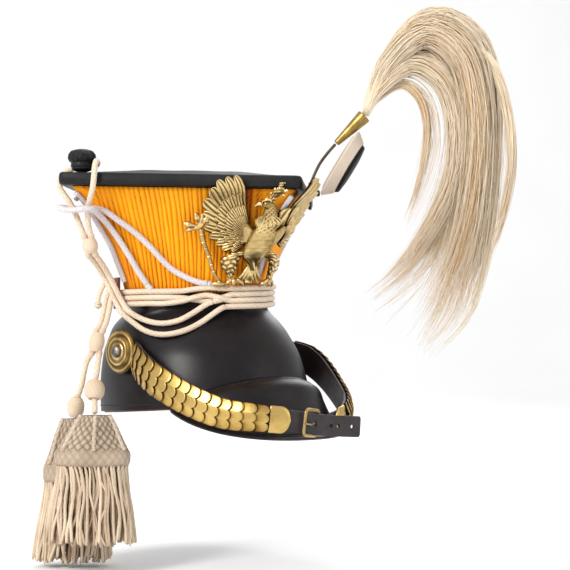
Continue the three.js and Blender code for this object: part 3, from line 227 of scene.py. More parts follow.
lookTable = {
    "skullLeather": (blackLeatherLook, (0.003, 0.002, 0.0025), (0.010, 0.007, 0.0085), 0.36, 0.04),
    "boardLeather": (blackLeatherLook, (0.005, 0.005, 0.006), (0.012, 0.011, 0.012), 0.5, 0.0, 0.2),
    "peakLeather": (blackLeatherLook, (0.004, 0.0025, 0.003), (0.012, 0.009, 0.0095), 0.38, 0.04),
    "knobLeather": (blackLeatherLook, (0.004, 0.004, 0.004), (0.009, 0.008, 0.009), 0.46, 0.0, 0.25),
    "brownLeather": (plainLeatherLook, (0.10, 0.03, 0.012), (0.30, 0.09, 0.03), 0.6),
    "strapLeather": (plainLeatherLook, (0.009, 0.005, 0.006), (0.028, 0.018, 0.020), 0.5),
    "yellowCloth": (pleatedClothLook, [
        (0.05, (0.24, 0.035, 0.0005)), (0.32, (0.60, 0.145, 0.001)), (0.6, (0.86, 0.30, 0.002)),
        (0.95, (0.98, 0.43, 0.006))]),
    "creamCord": (yarnLook, (0.28, 0.17, 0.09), (0.57, 0.42, 0.29), (0.78, 0.65, 0.50)),
    "paleCord": (yarnLook, (0.30, 0.27, 0.28), (0.50, 0.46, 0.47), (0.68, 0.64, 0.65)),
    "tasselYarn": (yarnLook, (0.10, 0.055, 0.025), (0.42, 0.30, 0.20), (0.74, 0.61, 0.45)),
    "wovenYarn": (yarnLook, (0.09, 0.055, 0.032), (0.33, 0.25, 0.18), (0.60, 0.49, 0.38)),
    "castBrass": (brassLook, (0.84, 0.64, 0.31), (0.27, 0.17, 0.05), (0.018, 0.009, 0.002), 0.24, 0.4),
    "scaleBrass": (brassLook, (0.62, 0.43, 0.14), (0.34, 0.20, 0.05), (0.035, 0.016, 0.003), 0.3, 0.75),
    "darkBrass": (brassLook, (0.55, 0.40, 0.13), (0.26, 0.17, 0.05), (0.04, 0.025, 0.008), 0.28, 0.8),
    "steel": (steelLook, (0.34, 0.30, 0.27), (0.12, 0.10, 0.09), 0.34),
    "wire": (steelLook, (0.16, 0.11, 0.07), (0.06, 0.04, 0.025), 0.42),
    "horsehair": (horsehairLook, [
        (0.12, (0.24, 0.12, 0.03)), (0.36, (0.54, 0.33, 0.13)), (0.60, (0.78, 0.60, 0.38)),
        (0.86, (0.92, 0.80, 0.63))]),
    "badgeYarn": (yarnLook, (0.30, 0.23, 0.17), (0.58, 0.47, 0.37), (0.76, 0.66, 0.55), 1500),
    "blackWool": (yarnLook, (0.003, 0.002, 0.002), (0.007, 0.006, 0.005), (0.014, 0.012, 0.010), 1500),
}
looks = {name: makeLook(name, *row) for name, row in lookTable.items()}
print("materials ready:", len(looks))


# mesh helpers; all points are in millimetres until a mesh is made

def closedMesh(name, points, faces):
    # the faces are turned to look outwards
    mesh = bpy.data.meshes.new(name)
    mesh.from_pydata((points * mm).tolist(), [], faces)
    work = bmesh.new()
    work.from_mesh(mesh)
    bmesh.ops.recalc_face_normals(work, faces=work.faces)
    work.to_mesh(mesh)
    work.free()
    return mesh


def smoothFaces(mesh):
    mesh.polygons.foreach_set("use_smooth", [True] * len(mesh.polygons))


def makePiece(name, parts, look, nodes):
    # parts: (points, faces, shade) triples that become one mesh
    points, faces, shades, start = [], [], [], 0
    for body, sides, shade in parts:
        body = np.asarray(body, float).reshape(-1, 3)
        points.append(body)
        faces += [[int(v) + start for v in face] for face in sides]
        shades.append(np.broadcast_to(np.asarray(shade, float).ravel(), (len(body),)))
        start += len(body)
    mesh = closedMesh(name, np.vstack(points), faces)
    stored = mesh.attributes.new("shade", "FLOAT", "POINT")
    stored.data.foreach_set("value", np.concatenate(shades).astype(np.float32))
    smoothFaces(mesh)
    mesh.materials.append(looks[look])
    piece = addObject(name, mesh)
    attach(piece, "root")
    if nodes:
        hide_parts(*nodes)
    return piece


def wrapped(rings, shade=0.5, joined=False):
    # a closed skin over a row of rings; the last ring joins the first one, or both ends get a cap
    rings = np.asarray(rings, float)
    rows, columns = rings.shape[:2]
    r, c = np.meshgrid(np.arange(rows if joined else rows - 1), np.arange(columns), indexing="ij")
    nextRow, nextColumn = (r + 1) % rows, (c + 1) % columns
    faces = np.stack([r * columns + c, r * columns + nextColumn,
                      nextRow * columns + nextColumn, nextRow * columns + c], -1).reshape(-1, 4).tolist()
    if not joined:
        faces += [list(range(columns))[::-1], list(range((rows - 1) * columns, rows * columns))]
    return rings, faces, shade


def matched(*values):
    return np.broadcast_arrays(*(np.asarray(v, float) for v in values))


def fullTurn(count):
    return 2 * np.pi * np.arange(count) / count


def unit(v):
    return v / np.maximum(np.linalg.norm(v, axis=-1, keepdims=True), 1e-9)


def hermite(t, start, startSlope, end, endSlope):
    return ((2 * t ** 3 - 3 * t ** 2 + 1) * start + (t ** 3 - 2 * t ** 2 + t) * startSlope
            + (3 * t ** 2 - 2 * t ** 3) * end + (t ** 3 - t ** 2) * endSlope)


def reader(table):
    # smooth curves through a table's columns, read at any value of its first column
    names = list(table)
    rows = np.array([table[name] for name in names], float).T
    keys = rows[:, 0]
    steps = np.diff(keys)
    slopes = np.diff(rows, axis=0) / steps[:, None]
    tangents = np.vstack([slopes[:1], (slopes[1:] + slopes[:-1]) / 2, slopes[-1:]])
    tangents[1:-1] = np.where(slopes[1:] * slopes[:-1] <= 0, 0, tangents[1:-1])

    def read(name, value):
        column = names.index(name)
        value = np.clip(np.asarray(value, float), keys[0], keys[-1])
        i = np.clip(np.searchsorted(keys, value, side="right") - 1, 0, len(keys) - 2)
        return hermite((value - keys[i]) / steps[i], rows[i, column], tangents[i, column] * steps[i],
                       rows[i + 1, column], tangents[i + 1, column] * steps[i])
    return read


def lengthOf(line):
    return float(np.linalg.norm(np.diff(line, axis=0), axis=1).sum())


def evenly(line, spacing):
    reach = np.r_[0, np.cumsum(np.linalg.norm(np.diff(line, axis=0), axis=1))]
    count = max(3, int(round(reach[-1] / spacing)) + 1)
    at = np.linspace(0, reach[-1], count)
    return np.stack([np.interp(at, reach, line[:, k]) for k in range(3)], 1)


def curveThrough(points, spacing):
    # a smooth centripetal curve through points, sampled at an even spacing
    p = np.array(points, float)
    p = np.vstack([2 * p[0] - p[1], p, 2 * p[-1] - p[-2]])
    t = np.linspace(0, 1, 20, endpoint=False)[:, None]
    pieces = []
    for p0, p1, p2, p3 in zip(p, p[1:], p[2:], p[3:]):
        d0, d1, d2 = (max(np.linalg.norm(b - a) ** 0.5, 1e-3) for a, b in ((p0, p1), (p1, p2), (p2, p3)))
        m1 = ((p1 - p0) / d0 - (p2 - p0) / (d0 + d1) + (p2 - p1) / d1) * d1
        m2 = ((p2 - p1) / d1 - (p3 - p1) / (d1 + d2) + (p3 - p2) / d2) * d1
        pieces.append(hermite(t, p1, m1, p2, m2))
    return evenly(np.vstack(pieces + [p[-2:-1]]), spacing)


def barAlong(line, radius, sides, shade):
    # radius may be one number, one for each ring, or one for each point; the ends are blunted
    line = np.asarray(line, float)
    radius = np.broadcast_to(np.asarray(radius, float) if np.ndim(radius) == 2
                             else np.reshape(radius, (-1, 1)), (len(line), sides)).copy()
    radius[[0, -1]] *= 0.72
    along = unit(np.gradient(line, axis=0))
    across = np.cross(along[0], (0.0, 0.0, 1.0))
    if np.linalg.norm(across) < 0.2:
        across = np.cross(along[0], (0.0, 1.0, 0.0))
    axes = [across / np.linalg.norm(across)]
    for direction in along[1:]:
        across = axes[-1] - direction * (axes[-1] @ direction)
        axes.append(across / np.linalg.norm(across))
    side, turn = np.array(axes)[:, None], fullTurn(sides)[:, None]
    ring = np.cos(turn) * side + np.sin(turn) * np.cross(along, axes)[:, None]
    shade = np.broadcast_to(np.asarray(shade, float), (len(line), sides)) if np.ndim(shade) else shade
    return wrapped(line[:, None] + ring * radius[..., None], shade)


def braidAlong(line, diameter, sides=16, pitch=5.6, plies=4, depth=0.035):
    # smooth plaited cord: two families of fine strands cross round the line
    reach = np.linspace(0, lengthOf(line), len(line))[:, None]
    turn = fullTurn(sides)[None, :]
    right = np.sin(plies * turn + 2 * np.pi * reach / pitch)
    left = np.sin(plies * turn - 2 * np.pi * reach / pitch)
    over = np.maximum(right, left)
    radius = diameter / 2 * (1 - depth * 0.5 + depth * over)
    # painted shade: the strands that lie over are lighter and the grooves between them darker
    return barAlong(line, radius, sides, 0.5 + 0.42 * (over * 0.5 + 0.5))


def turnedBody(profile, base, axis, segments, ripple=None):
    # profile rows are (radius, height) along axis; ripple changes a radius by its angle and row
    profile = np.array(profile, float)
    axis = unit(np.array(axis, float))
    side = unit(np.cross(axis, (0, 0, 1) if abs(axis[2]) < 0.9 else (0, 1, 0)))
    turn = fullTurn(segments)
    radius = np.maximum(profile[:, :1], 0.02) * np.ones((1, segments))
    if ripple:
        radius = radius * ripple(turn[None, :], np.linspace(0, 1, len(profile))[:, None])
    ring = np.cos(turn)[:, None] * side + np.sin(turn)[:, None] * np.cross(axis, side)
    points = np.array(base, float) + profile[:, 1][:, None, None] * axis + radius[:, :, None] * ring
    return wrapped(points, 0.6)


def roundedProfile(rows, bends=5):
    # cuts the corners of a profile with short arcs
    rows = np.array(rows, float)
    out = [rows[0]]
    for before, corner, after in zip(rows, rows[1:], rows[2:]):
        reach = 0.35 * min(np.linalg.norm(corner - before), np.linalg.norm(after - corner))
        a = corner + unit(before - corner) * min(reach, 1.2)
        b = corner + unit(after - corner) * min(reach, 1.2)
        for t in np.linspace(0, 1, bends):
            out.append((1 - t) ** 2 * a + 2 * t * (1 - t) * corner + t * t * b)
    return np.array(out + [rows[-1]])


# plan outlines

def squareReach(turn, half, corner):
    fromFlat = np.abs(np.mod(turn, np.pi / 2) - np.pi / 4)
    c, s = np.cos(fromFlat), np.sin(fromFlat)
    core = half - corner
    along = core * (c + s)
    bend = along + np.sqrt(np.maximum(along ** 2 - 2 * core ** 2 + corner ** 2, 0))
    return np.where(half * s / c <= core, half / c, bend)


def ellipseReach(turn, halfX, halfY):
    return 1 / np.hypot(np.cos(turn) / halfX, np.sin(turn) / halfY)


def halfOfSquare(diagonal, corner):
    return (diagonal + corner * (math.sqrt(2) - 1)) / math.sqrt(2)


# free cords

def makeCord(name, route, look, diameter=4.6):
    line = curveThrough(route, 0.75)
    piece = makePiece(name, [braidAlong(line, diameter)], look, [name])


cordRoutes = {
    "knob_loop": [
        (-117.5, 8, 143), (-119.5, 12, 153), (-121, 17, 163), (-122, 23.5, 172), (-123, 30, 178.5),
        (-124, 34.8, 184.5), (-122.7, 36.4, 191), (-119.5, 34.5, 197), (-115.5, 28.5, 200),
        (-110.5, 19.5, 200.5), (-107.5, 10.5, 201), (-108.5, 3, 202.3), (-113, -2.5, 203.5),
        (-118, -9, 202.3), (-121.7, -13, 197.5), (-123, -14, 190.5), (-123.3, -12.3, 180),
        (-122.8, -7, 170), (-121, -2.2, 161), (-117.7, 1.8, 151.5), (-114.3, 3.2, 143)],
    "line_outer": [
        (-113, 8, 127.8), (-104.3, 10.2, 120.8), (-95, 13.6, 111.3), (-88.8, 13.4, 101.5),
        (-84.4, 12.2, 91.6), (-82.8, 5.8, 82.4), (-77, -1.6, 74.1), (-72.1, -13.6, 66.7),
        (-67.9, -32.6, 63.8), (-57.4, -45.2, 66.8), (-44.5, -50.3, 73.2), (-33.5, -54.9, 81.2),
        (-28, -56.5, 84.8), (-23.7, -56.7, 86.3)],
    "line_inner": [
        (-110, 3.8, 128.8), (-101.8, 5.3, 120.7), (-92.8, 8.4, 111.2), (-86.6, 8.7, 101.4),
        (-81.8, 7, 91.5), (-79.8, -0.2, 83.2), (-73.7, -5.9, 77.8), (-67.9, -14.8, 74.1),
        (-63.2, -26.6, 72.9), (-55.5, -36.6, 75.3), (-46.4, -43.4, 81.3), (-37.4, -49.1, 88.2),
        (-32.9, -52.3, 90.6)],
    "drop_cord_front": [
        (-83.1, 15.6, 107), (-83.2, 17.7, 98), (-85.9, 17.1, 90), (-90.4, 13.4, 81),
        (-95.4, 9.6, 73), (-99.7, 8, 66.8)],
    "drop_cord_rear": [
        (-84.2, 21, 106), (-84.2, 23, 98), (-87.4, 22.2, 90), (-91.8, 18.6, 81),
        (-97, 14.9, 72), (-102.4, 12.6, 66.6)],
    "drop_front": [
        (-103.6, 6.8, 48.4), (-106.3, 4.4, 41.5), (-109.2, 1.5, 34.2), (-112.1, -0.6, 27.9),
        (-114.2, -2.6, 19.5), (-115.8, -5, 11), (-117.3, -8, 1.1)],
    "drop_rear": [
        (-107.1, 12.3, 48.9), (-110.9, 13.7, 42.2), (-113.6, 13.9, 33.2), (-114.9, 15.4, 22.6),
        (-116.2, 19, 13.6)],
}
for cordName, cordRoute in cordRoutes.items():
    makeCord(cordName, cordRoute, "creamCord")
whiteRoute = [
    (-69, -10.7, 105), (-76.2, -8, 116), (-81.9, -6.2, 125.8), (-88.3, -4, 136.3),
    (-94.7, -1.8, 146), (-101.8, -1.2, 153.8), (-111.9, -5, 159.7), (-122.4, -11.5, 163.3),
    (-129.4, -9.6, 163.6), (-130.6, 1.9, 163.7), (-130.6, 12.6, 164.3), (-130.7, 23.4, 166.4),
    (-127.6, 29.4, 167.4), (-120.8, 30.2, 167.4), (-114.4, 24, 166.6), (-113.6, 17, 166),
    (-122.6, 9, 165.6), (-119.4, 2.2, 165.4), (-112, -1.6, 165.2), (-105, -4, 163.2),
    (-94.5, -8.7, 155.4), (-83.2, -13.8, 146.7), (-72.4, -19.6, 135.4), (-63.5, -24.2, 124.8),
    (-56.4, -28.2, 117.1), (-49.7, -33, 112.2), (-43.2, -37.9, 108.4), (-36.2, -44.4, 105.7),
    (-33.8, -46.9, 105.9)]
makeCord("white_cord", whiteRoute, "paleCord", 5.0)
# its two ends are tucked in behind the turns at the waist
tucked = [[(-69, -10.7, 105), (-67.6, -12, 102.4), (-65.6, -13.4, 100.6)],
          [(-33.8, -46.9, 105.9), (-31.4, -48.6, 104.6), (-28.4, -49.8, 103)]]
makePiece("white_cord_ends", [braidAlong(curveThrough(route, 0.9), 4.9, 12) for route in tucked], "paleCord",
          ["waist_cord"])
print("cords ready")


# skull, peak and sweatband

skullTable = reader({
    "z": (0, 20, 45, 60, 73, 82, 89, 98),
    "halfX": (83.5, 83.3, 79.5, 75, 69.5, 62.5, 58, 58),
    "halfY": (98, 97.2, 92, 86.5, 79, 69.5, 62, 60),
    "centre": (0, 2, 5.5, 8, 10, 9.5, 9, 9),
    "square": (0, 0, 0, 0.05, 0.15, 0.4, 0.9, 1)})


neck = {"half": 58.4, "round": 24}
rimLevel = 22


def skullPoint(turn, z, offset):
    turn, z = matched(turn, z)
    square = skullTable("square", z)
    reach = ((1 - square) * ellipseReach(turn, skullTable("halfX", z), skullTable("halfY", z))
             + square * squareReach(turn, neck["half"], neck["round"])) + offset
    return np.stack([reach * np.cos(turn), skullTable("centre", z) + reach * np.sin(turn), z], -1)


def rimPoint(turn, share, offset=0.0):
    # share runs down the lowest stretch, to the tilted rim
    level = rimLevel * (1 - np.asarray(share, float)) + 0 * turn
    point = skullPoint(turn, level, offset)
    point[..., 2] = level + (2 - 0.065 * point[..., 1]) * (1 - level / rimLevel)
    return point


def buildSkull():
    turn = fullTurn(160)
    rim = {"bulge": 0.35, "wall": 2.4}
    rows = [skullPoint(turn, z, -0.4 if z > 97.5 else 0) for z in np.r_[98, 97.2, np.linspace(96, 23, 40)]]
    rows += [rimPoint(turn, share) for share in np.linspace(0, 0.985, 12)]
    for bend in np.linspace(0, np.pi, 7)[1:-1]:
        ring = rimPoint(turn, 1.0, -rim["wall"] / 2 * (1 - math.cos(bend)) + rim["bulge"] * math.sin(bend))
        ring[:, 2] -= 0.2 + rim["bulge"] * math.sin(bend)
        rows.append(ring)
    rows += [rimPoint(turn, share, -rim["wall"]) for share in (0.985, 0.6, 0.2)]
    rows += [skullPoint(turn, z, -rim["wall"]) for z in np.linspace(rimLevel, 95.5, 16)]
    makePiece("skull_shell", [wrapped(rows)], "skullLeather", ["skull"])
    count, height = 150, 4.4
    stitches = []
    for i in range(count):
        spots = 2 * np.pi * (i + np.array([0.16, 0.5, 0.84])) / count
        stitches.append(barAlong(rimPoint(spots, 1 - height / rimLevel, 0.15), 0.42, 6, 0.2))
    makePiece("skull_stitches", stitches, "strapLeather", [])


def buildSweatband():
    turn = fullTurn(120)
    ripple = 0.1 * np.sin(23 * turn) * np.sin(turn * 3)
    outer, middle, inner = -2.75, -3.4, -4.05
    rows = []
    for share, offset in [(1, outer), (0.5, outer), (0, outer), (0, middle), (0, inner), (0.5, inner),
                          (1, inner), (1, middle)]:
        ring = rimPoint(turn, share * 0.999, offset - 0.1 + ripple)
        ring[:, 2] -= 1.4 * share + (0.2 if offset == middle and share else 0)
        rows.append(ring)
    makePiece("sweat_lining", [wrapped(rows, joined=True)], "brownLeather", ["sweatband"])


peakTable = reader({
    "t": (0, 0.2, 0.45, 0.7, 1),
    "out": (0, 0.28, 0.44, 0.64, 1),
    "down": (0, 0.13, 0.42, 0.72, 1)})


peak = {"halfWide": 75, "root": -52, "out": 90, "low": -18, "sideRise": 20, "seamSweep": 57, "seamHigh": 30,
        "seamDrop": 24, "leather": 2.4}


def peakPoint(across, t, lift):
    across, t, lift = matched(across, t, lift)
    swing = across * np.pi / 2
    rim = np.stack([peak["halfWide"] * np.sin(swing), peak["root"] - peak["out"] * np.cos(swing),
                    peak["low"] + peak["sideRise"] * np.abs(across) ** 3], -1)
    seam = skullPoint(-np.pi / 2 + np.radians(across * peak["seamSweep"]),
                      peak["seamHigh"] - peak["seamDrop"] * across * across, gap)
    out, down = peakTable("out", t)[..., None], peakTable("down", t)
    point = seam * (1 - out) + rim * out
    point[..., 2] = seam[..., 2] * (1 - down) + rim[..., 2] * down
    away = rim - seam
    away[..., 2] = 0
    slope = 1 - 0.25 * t
    point = point + unit(away) * (lift * slope)[..., None]
    point[..., 2] += lift * (1 - slope) * 1.5
    return point


def buildPeak():
    # a rounded rim, and a double line pressed into the leather along it
    across = np.linspace(-1, 1, 121)
    rows = []
    for t in np.r_[np.linspace(0, 0.9, 26), np.linspace(0.91, 0.995, 22)]:
        pressed = 0.42 * (np.exp(-((t - 0.918) / 0.006) ** 2) + np.exp(-((t - 0.945) / 0.006) ** 2))
        bead = 0.3 * np.clip((t - 0.955) / 0.02, 0, 1)
        rows.append(peakPoint(across, t, peak["leather"] - pressed + bead))
    for bend in np.linspace(0, np.pi, 7):
        rows.append(peakPoint(across, 1 + 0.006 * math.sin(bend), 1.2 + 1.5 * math.cos(bend)))
    rows += [peakPoint(across, t, 0.0) for t in np.linspace(0.98, 0.0, 24)]
    makePiece("peak", [wrapped(np.stack(rows, 1))], "peakLeather", ["front_peak"])
    count = 64
    seam = []
    for i in range(count):
        spots = -0.97 + 1.94 * (i + np.array([0.15, 0.5, 0.85])) / count
        seam.append(barAlong(peakPoint(spots, 0.05, 2.45), 0.4, 6, 0.2))
    makePiece("peak_stitches", seam, "strapLeather", [])


buildSkull()
buildSweatband()
buildPeak()
print("skull ready")


# fluted cover and its piping

coverLow, coverHigh = 98.35, 181.25
coverTable = reader({
    "z": (coverLow, 107, 123, 137, 150, 160, 170, 181.6),
    "ridge": (71.5, 74.5, 82, 89, 98, 105, 112.5, 126),
    "round": (24, 22, 18, 15, 12.5, 11, 9.5, 8),
    "shift": (0, 0, 0, 0, -0.5, -1, -1.5, -2)})
board = {"x": -3, "y": 11, "diagonal": 136, "corner": 7, "bottom": 181.6, "band": 10.6, "wall": 2.6,
         "dome": 12, "shelf": 22, "leanX": -0.017, "leanY": 0.015}


def boardTilt(x, y):
    return board["leanX"] * (x - board["x"]) + board["leanY"] * (y - board["y"])


def leaned(point):
    share = np.clip((point[..., 2] - coverLow) / (board["bottom"] - coverLow), 0, 1)
    point[..., 2] += share * boardTilt(point[..., 0], point[..., 1])
    return point


def coverPoint(side, s, z, offset):
    side, s, z, offset = matched(side, s, z, offset)
    ridge, corner = coverTable("ridge", z), coverTable("round", z)
    core = halfOfSquare(ridge, corner) - corner
    out = -np.pi / 4 + side * np.pi / 2
    along = np.abs(s) * (core + corner * np.pi / 4)
    turn = out + np.sign(s) * np.maximum(0, along - core) / corner
    aside = np.sign(s) * np.minimum(along, core)
    x = coverTable("shift", z) + core * np.cos(out) - aside * np.sin(out) + (corner + offset) * np.cos(turn)
    y = back + core * np.sin(out) + aside * np.cos(out) + (corner + offset) * np.sin(turn)
    return np.stack([x, y, z], -1)


def buildCover():
    # gathered wool: rounded pleats that stay nearly upright and run out beside the ridges
    cover = {"pitch": 4.0, "pleats": 54, "columns": 320, "depth": 1.9, "strip": 9, "wall": 3.7, "levels": 22,
             "gather": 0.2}
    random = np.random.default_rng(7)
    levels = coverLow + (coverHigh - coverLow) * np.linspace(0, 1, cover["levels"])
    count = cover["pleats"]
    u = np.linspace(-1, 1, cover["columns"] + 1)
    flat, smooth = np.full(6, -0.1), np.full(6, 0.62)
    columns, shade = [], []
    for side in range(4):
        edges = (np.arange(count + 1) - count / 2 + random.normal(0, 0.1, count + 1)) * cover["pitch"]
        deep, tint = random.uniform(0.7, 1.05, count), random.normal(0, 0.07, count)
        sway = random.normal(0, 0.3, (count + 1, 3))
        rows, tones = [], []
        for z in levels:
            share = (z - coverLow) / (coverHigh - coverLow)
            ridge, corner = float(coverTable("ridge", z)), float(coverTable("round", z))
            length = halfOfSquare(ridge, corner) - corner + corner * math.pi / 4
            reach = 1 - cover["strip"] * ridge / 126 / length
            place = u * reach * length / (1 - cover["gather"] * (1 - share))
            moved = edges + sway @ np.array([math.sin(wave * share) for wave in (3.1, 6.3, 9.4)])
            index = np.clip(np.searchsorted(moved, place, side="right") - 1, 0, count - 1)
            inside = np.clip((place - moved[index]) / (moved[index + 1] - moved[index]), 0, 1)
            crest = np.sqrt(np.maximum(0, np.sin(np.pi * inside)))
            fade = np.clip((1 - np.abs(u)) * reach * length / 2.0, 0, 1)
            offset = cover["depth"] * deep[index] * (crest - 1) * (0.3 + 0.7 * fade)
            # painted shade: darker and browner beside the ridges; on the right front, a patch of painted
            # shadow from the eagle lies near the front ridge, stronger upwards
            if side == 3:
                wearAndShadow = np.exp(-((u - 0.72 + 0.1 * share) / 0.13) ** 2)
                paintedShade = 0.22 * np.exp(-((u + 0.98) / 0.1) ** 2) + 0.5 * wearAndShadow * share
            else:
                paintedShade = 0.2 * np.exp(-((np.abs(u) - 1) / 0.16) ** 2)
            strip = np.linspace(-1, -reach, 7)[:-1]
            s = np.r_[strip, u * reach, -strip[::-1][:-1]]
            rows.append(coverPoint(side, s, z, np.r_[flat, offset, flat[:-1]]))
            # painted shade: the folds between the crests are darker; each pleat also has its own random tint
            tones.append(np.r_[smooth, 0.1 + 0.74 * crest + tint[index] - paintedShade, smooth[:-1]])
        columns.append(np.stack(rows))
        shade.append(np.stack(tones))
    outer, tone = np.concatenate(columns, 1), np.concatenate(shade, 1)
    count = outer.shape[1]
    around = np.linspace(-1, 1, count // 4, endpoint=False)[None, :]
    inset = np.concatenate([coverPoint(side, around, levels[[-1, -6, -14, 0], None], -cover["wall"])
                            for side in range(4)], 1)
    grid = leaned(np.concatenate([outer, inset], 0))
    tone = np.concatenate([tone, np.full((4, count), 0.2)], 0)
    makePiece("gathered_cover", [wrapped(grid, tone, joined=True)], "yellowCloth",
              ["fluted_cover"])


def ridgePoint(x, y, z, off):
    slant = np.hypot(1, (coverTable("ridge", z + 1.5) - coverTable("ridge", z - 1.5)) / 3)
    reach = coverTable("ridge", z) + off * slant
    return leaned(np.stack([coverTable("shift", z) + x * reach, back + y * reach, z + 0 * reach], -1))


def buildPipings():
    corners = {"front": (0, -1, 111.5), "right": (-1, 0, 107), "back": (0, 1, 112.5), "left": (1, 0, 113)}
    piping = {"top": 176.1, "off": 2.75, "diameter": 4.2}
    for name, (x, y, start) in corners.items():
        line = evenly(ridgePoint(x, y, np.linspace(start, piping["top"], 60), piping["off"]), 0.75)
        makePiece("piping_" + name, [braidAlong(line, piping["diameter"])], "paleCord",
                  ["corner_piping_" + name])


buildCover()
buildPipings()
print("cover ready")


# board, knob and stud

def boardRing(inset, z):
    perCorner, perSide = 11, 26
    half = halfOfSquare(board["diagonal"], board["corner"]) - inset
    corner = max(1.2, board["corner"] - inset)
    out = (half - corner) * math.sqrt(2)
    arcs = []
    for middle in np.arange(4) * np.pi / 2:
        turn = middle + np.radians(np.linspace(-45, 45, perCorner))
        arcs.append(np.stack([board["x"] + out * math.cos(middle) + corner * np.cos(turn),
                              board["y"] + out * math.sin(middle) + corner * np.sin(turn)], -1))
    flat = []
    for arc, following in zip(arcs, arcs[1:] + arcs[:1]):
        t = np.linspace(0, 1, perSide + 2)[1:-1, None]
        flat += [arc, arc[-1] * (1 - t) + following[0] * t]
    flat = np.vstack(flat)
    return np.column_stack([flat, z + boardTilt(flat[:, 0], flat[:, 1])])


def buildBoard():
    random = np.random.default_rng(11)
    band, bottom = board["band"], board["bottom"]
    section = roundedProfile([
        (board["shelf"], 0.3), (board["shelf"], 2.6), (board["wall"], 2.6), (board["wall"], band - 0.5),
        (1.6, band - 0.2), (0.4, band - 1.6), (0, band / 2), (0.5, 1.4), (1.8, 0.3)], 5)
    rows = [boardRing(inset, bottom + up) for inset, up in section]
    count = len(rows[0])
    centre = np.array([board["x"], board["y"]])
    # the leather over the edge is cockled: short lengthwise creases and shallow dents
    wave = np.convolve(random.normal(0, 1, count + 8), np.ones(3) / 3, "same")[4:-4]
    crease = np.convolve(random.normal(0, 1, count + 8), np.ones(7) / 7, "same")[4:-4]
    for row, (inset, up) in zip(rows, section):
        if inset < 1.7:
            away = unit(row[:, :2] - centre)
            row[:, :2] += away * (0.3 * wave * math.sin(math.pi * up / band)
                                  + 0.5 * crease * math.sin(2 * math.pi * up / band))[:, None]
    makePiece("board_band", [wrapped(rows, joined=True)], "boardLeather", ["board_edge"])
    clear = board["wall"] + gap
    half = halfOfSquare(board["diagonal"], board["corner"])
    upper = [(s, 0.0) for s in np.r_[0.02, np.linspace(0.06, 0.98, 26), 1]]
    lower = [(s, 2.6) for s in (1, 0.8, 0.6, 0.4, 0.2, 0.02)]
    rows = []
    for share, drop in upper + lower:
        rise = board["dome"] * (1 - share * share) ** 1.5
        ring = boardRing(clear + (1 - share) * (half - clear - 1.4), bottom + band - 0.6 + rise - drop)
        dent = 0.5 * np.sin(ring[:, 0] * 0.11 + 1) * np.sin(ring[:, 1] * 0.09) * (1 - share)
        ring[:, 2] += dent - 0.4 * (1 - share)
        rows.append(ring)
    makePiece("board_dome", [wrapped(rows)], "boardLeather", ["board_top"])


def buildKnob():
    profile = roundedProfile([(0, 0), (4.5, 0), (7.6, 1.2), (8.8, 3.5), (9, 7.5), (10.9, 10.5), (10.9, 13.5),
                              (8.5, 16.8), (4, 18.2), (0, 18.4)], 6)
    x, rise = -119.5, 1.3
    base = (x, back, board["bottom"] + board["band"] + boardTilt(x, back) + rise)

    def creases(turn, share):
        # leather gathered over a ball and tied below: uneven lobes with sharp folds between
        uneven = turn + 0.35 * np.sin(2 * turn + 1)
        fold = 0.17 * np.abs(np.sin(3 * uneven + 2.6 * share)) ** 0.5 - 0.14
        fold = fold + 0.05 * np.abs(np.sin(8 * turn - 5 * share)) ** 0.5
        tied = 0.06 * np.exp(-((share - 0.42) / 0.035) ** 2) + 0.05 * np.exp(-((share - 0.30) / 0.03) ** 2)
        return 1 + fold * np.clip(share * 3, 0, 1) * (0.45 + 0.55 * (share > 0.45)) - tied

    makePiece("knob_folded", [turnedBody(profile, base, (0, 0, 1), 96, creases)], "knobLeather",
              ["corner_knob"])


def buildStud():
    base = ridgePoint(-1.0, 0.0, np.array(172.0), 5.4)
    profile = roundedProfile([(0, 0), (1.5, 0), (2.2, 1), (1.7, 2), (0, 2.4)])
    makePiece("loop_stud", [turnedBody(profile, base, (-0.65, 0, -0.76), 24)], "steel",
              ["cord_stud"])


buildBoard()
buildKnob()
buildStud()
print("board ready")


# cord wound round the waist, its tab and its loose end

windTable = reader({
    "z": (84, 88, 98, 110),
    "half": (63.6, 61.9, 61.5, 64.6),
    "round": (34, 30, 26, 26)})


slackShares = (0.2, 0.42, 0.57, 0.71, 0.87)


def windingSway(turn, share):
    # on the wearer's right front the turns slacken and cross: rise and outward step of each turn
    spots = (0, *slackShares, 1)
    rise = ((0, -0.5, 1.0, 3.4, 4.9, 2.6, 0), (0, -0.4, -1.4, -3.4, -4.9, -2.6, 0),
            (0, -0.4, -0.6, 0.6, 1.2, 0.4, 0))
    out = ((0.4, 0.6, 2.0, 4.2, 1.8, 4.0, 0.2), (0, 0.3, 0, 0, 0.6, 0, 0), (0, 0, 0.2, 0.2, 0, 0, 0))
    return np.interp(share, spots, rise[turn]), np.interp(share, spots, out[turn])


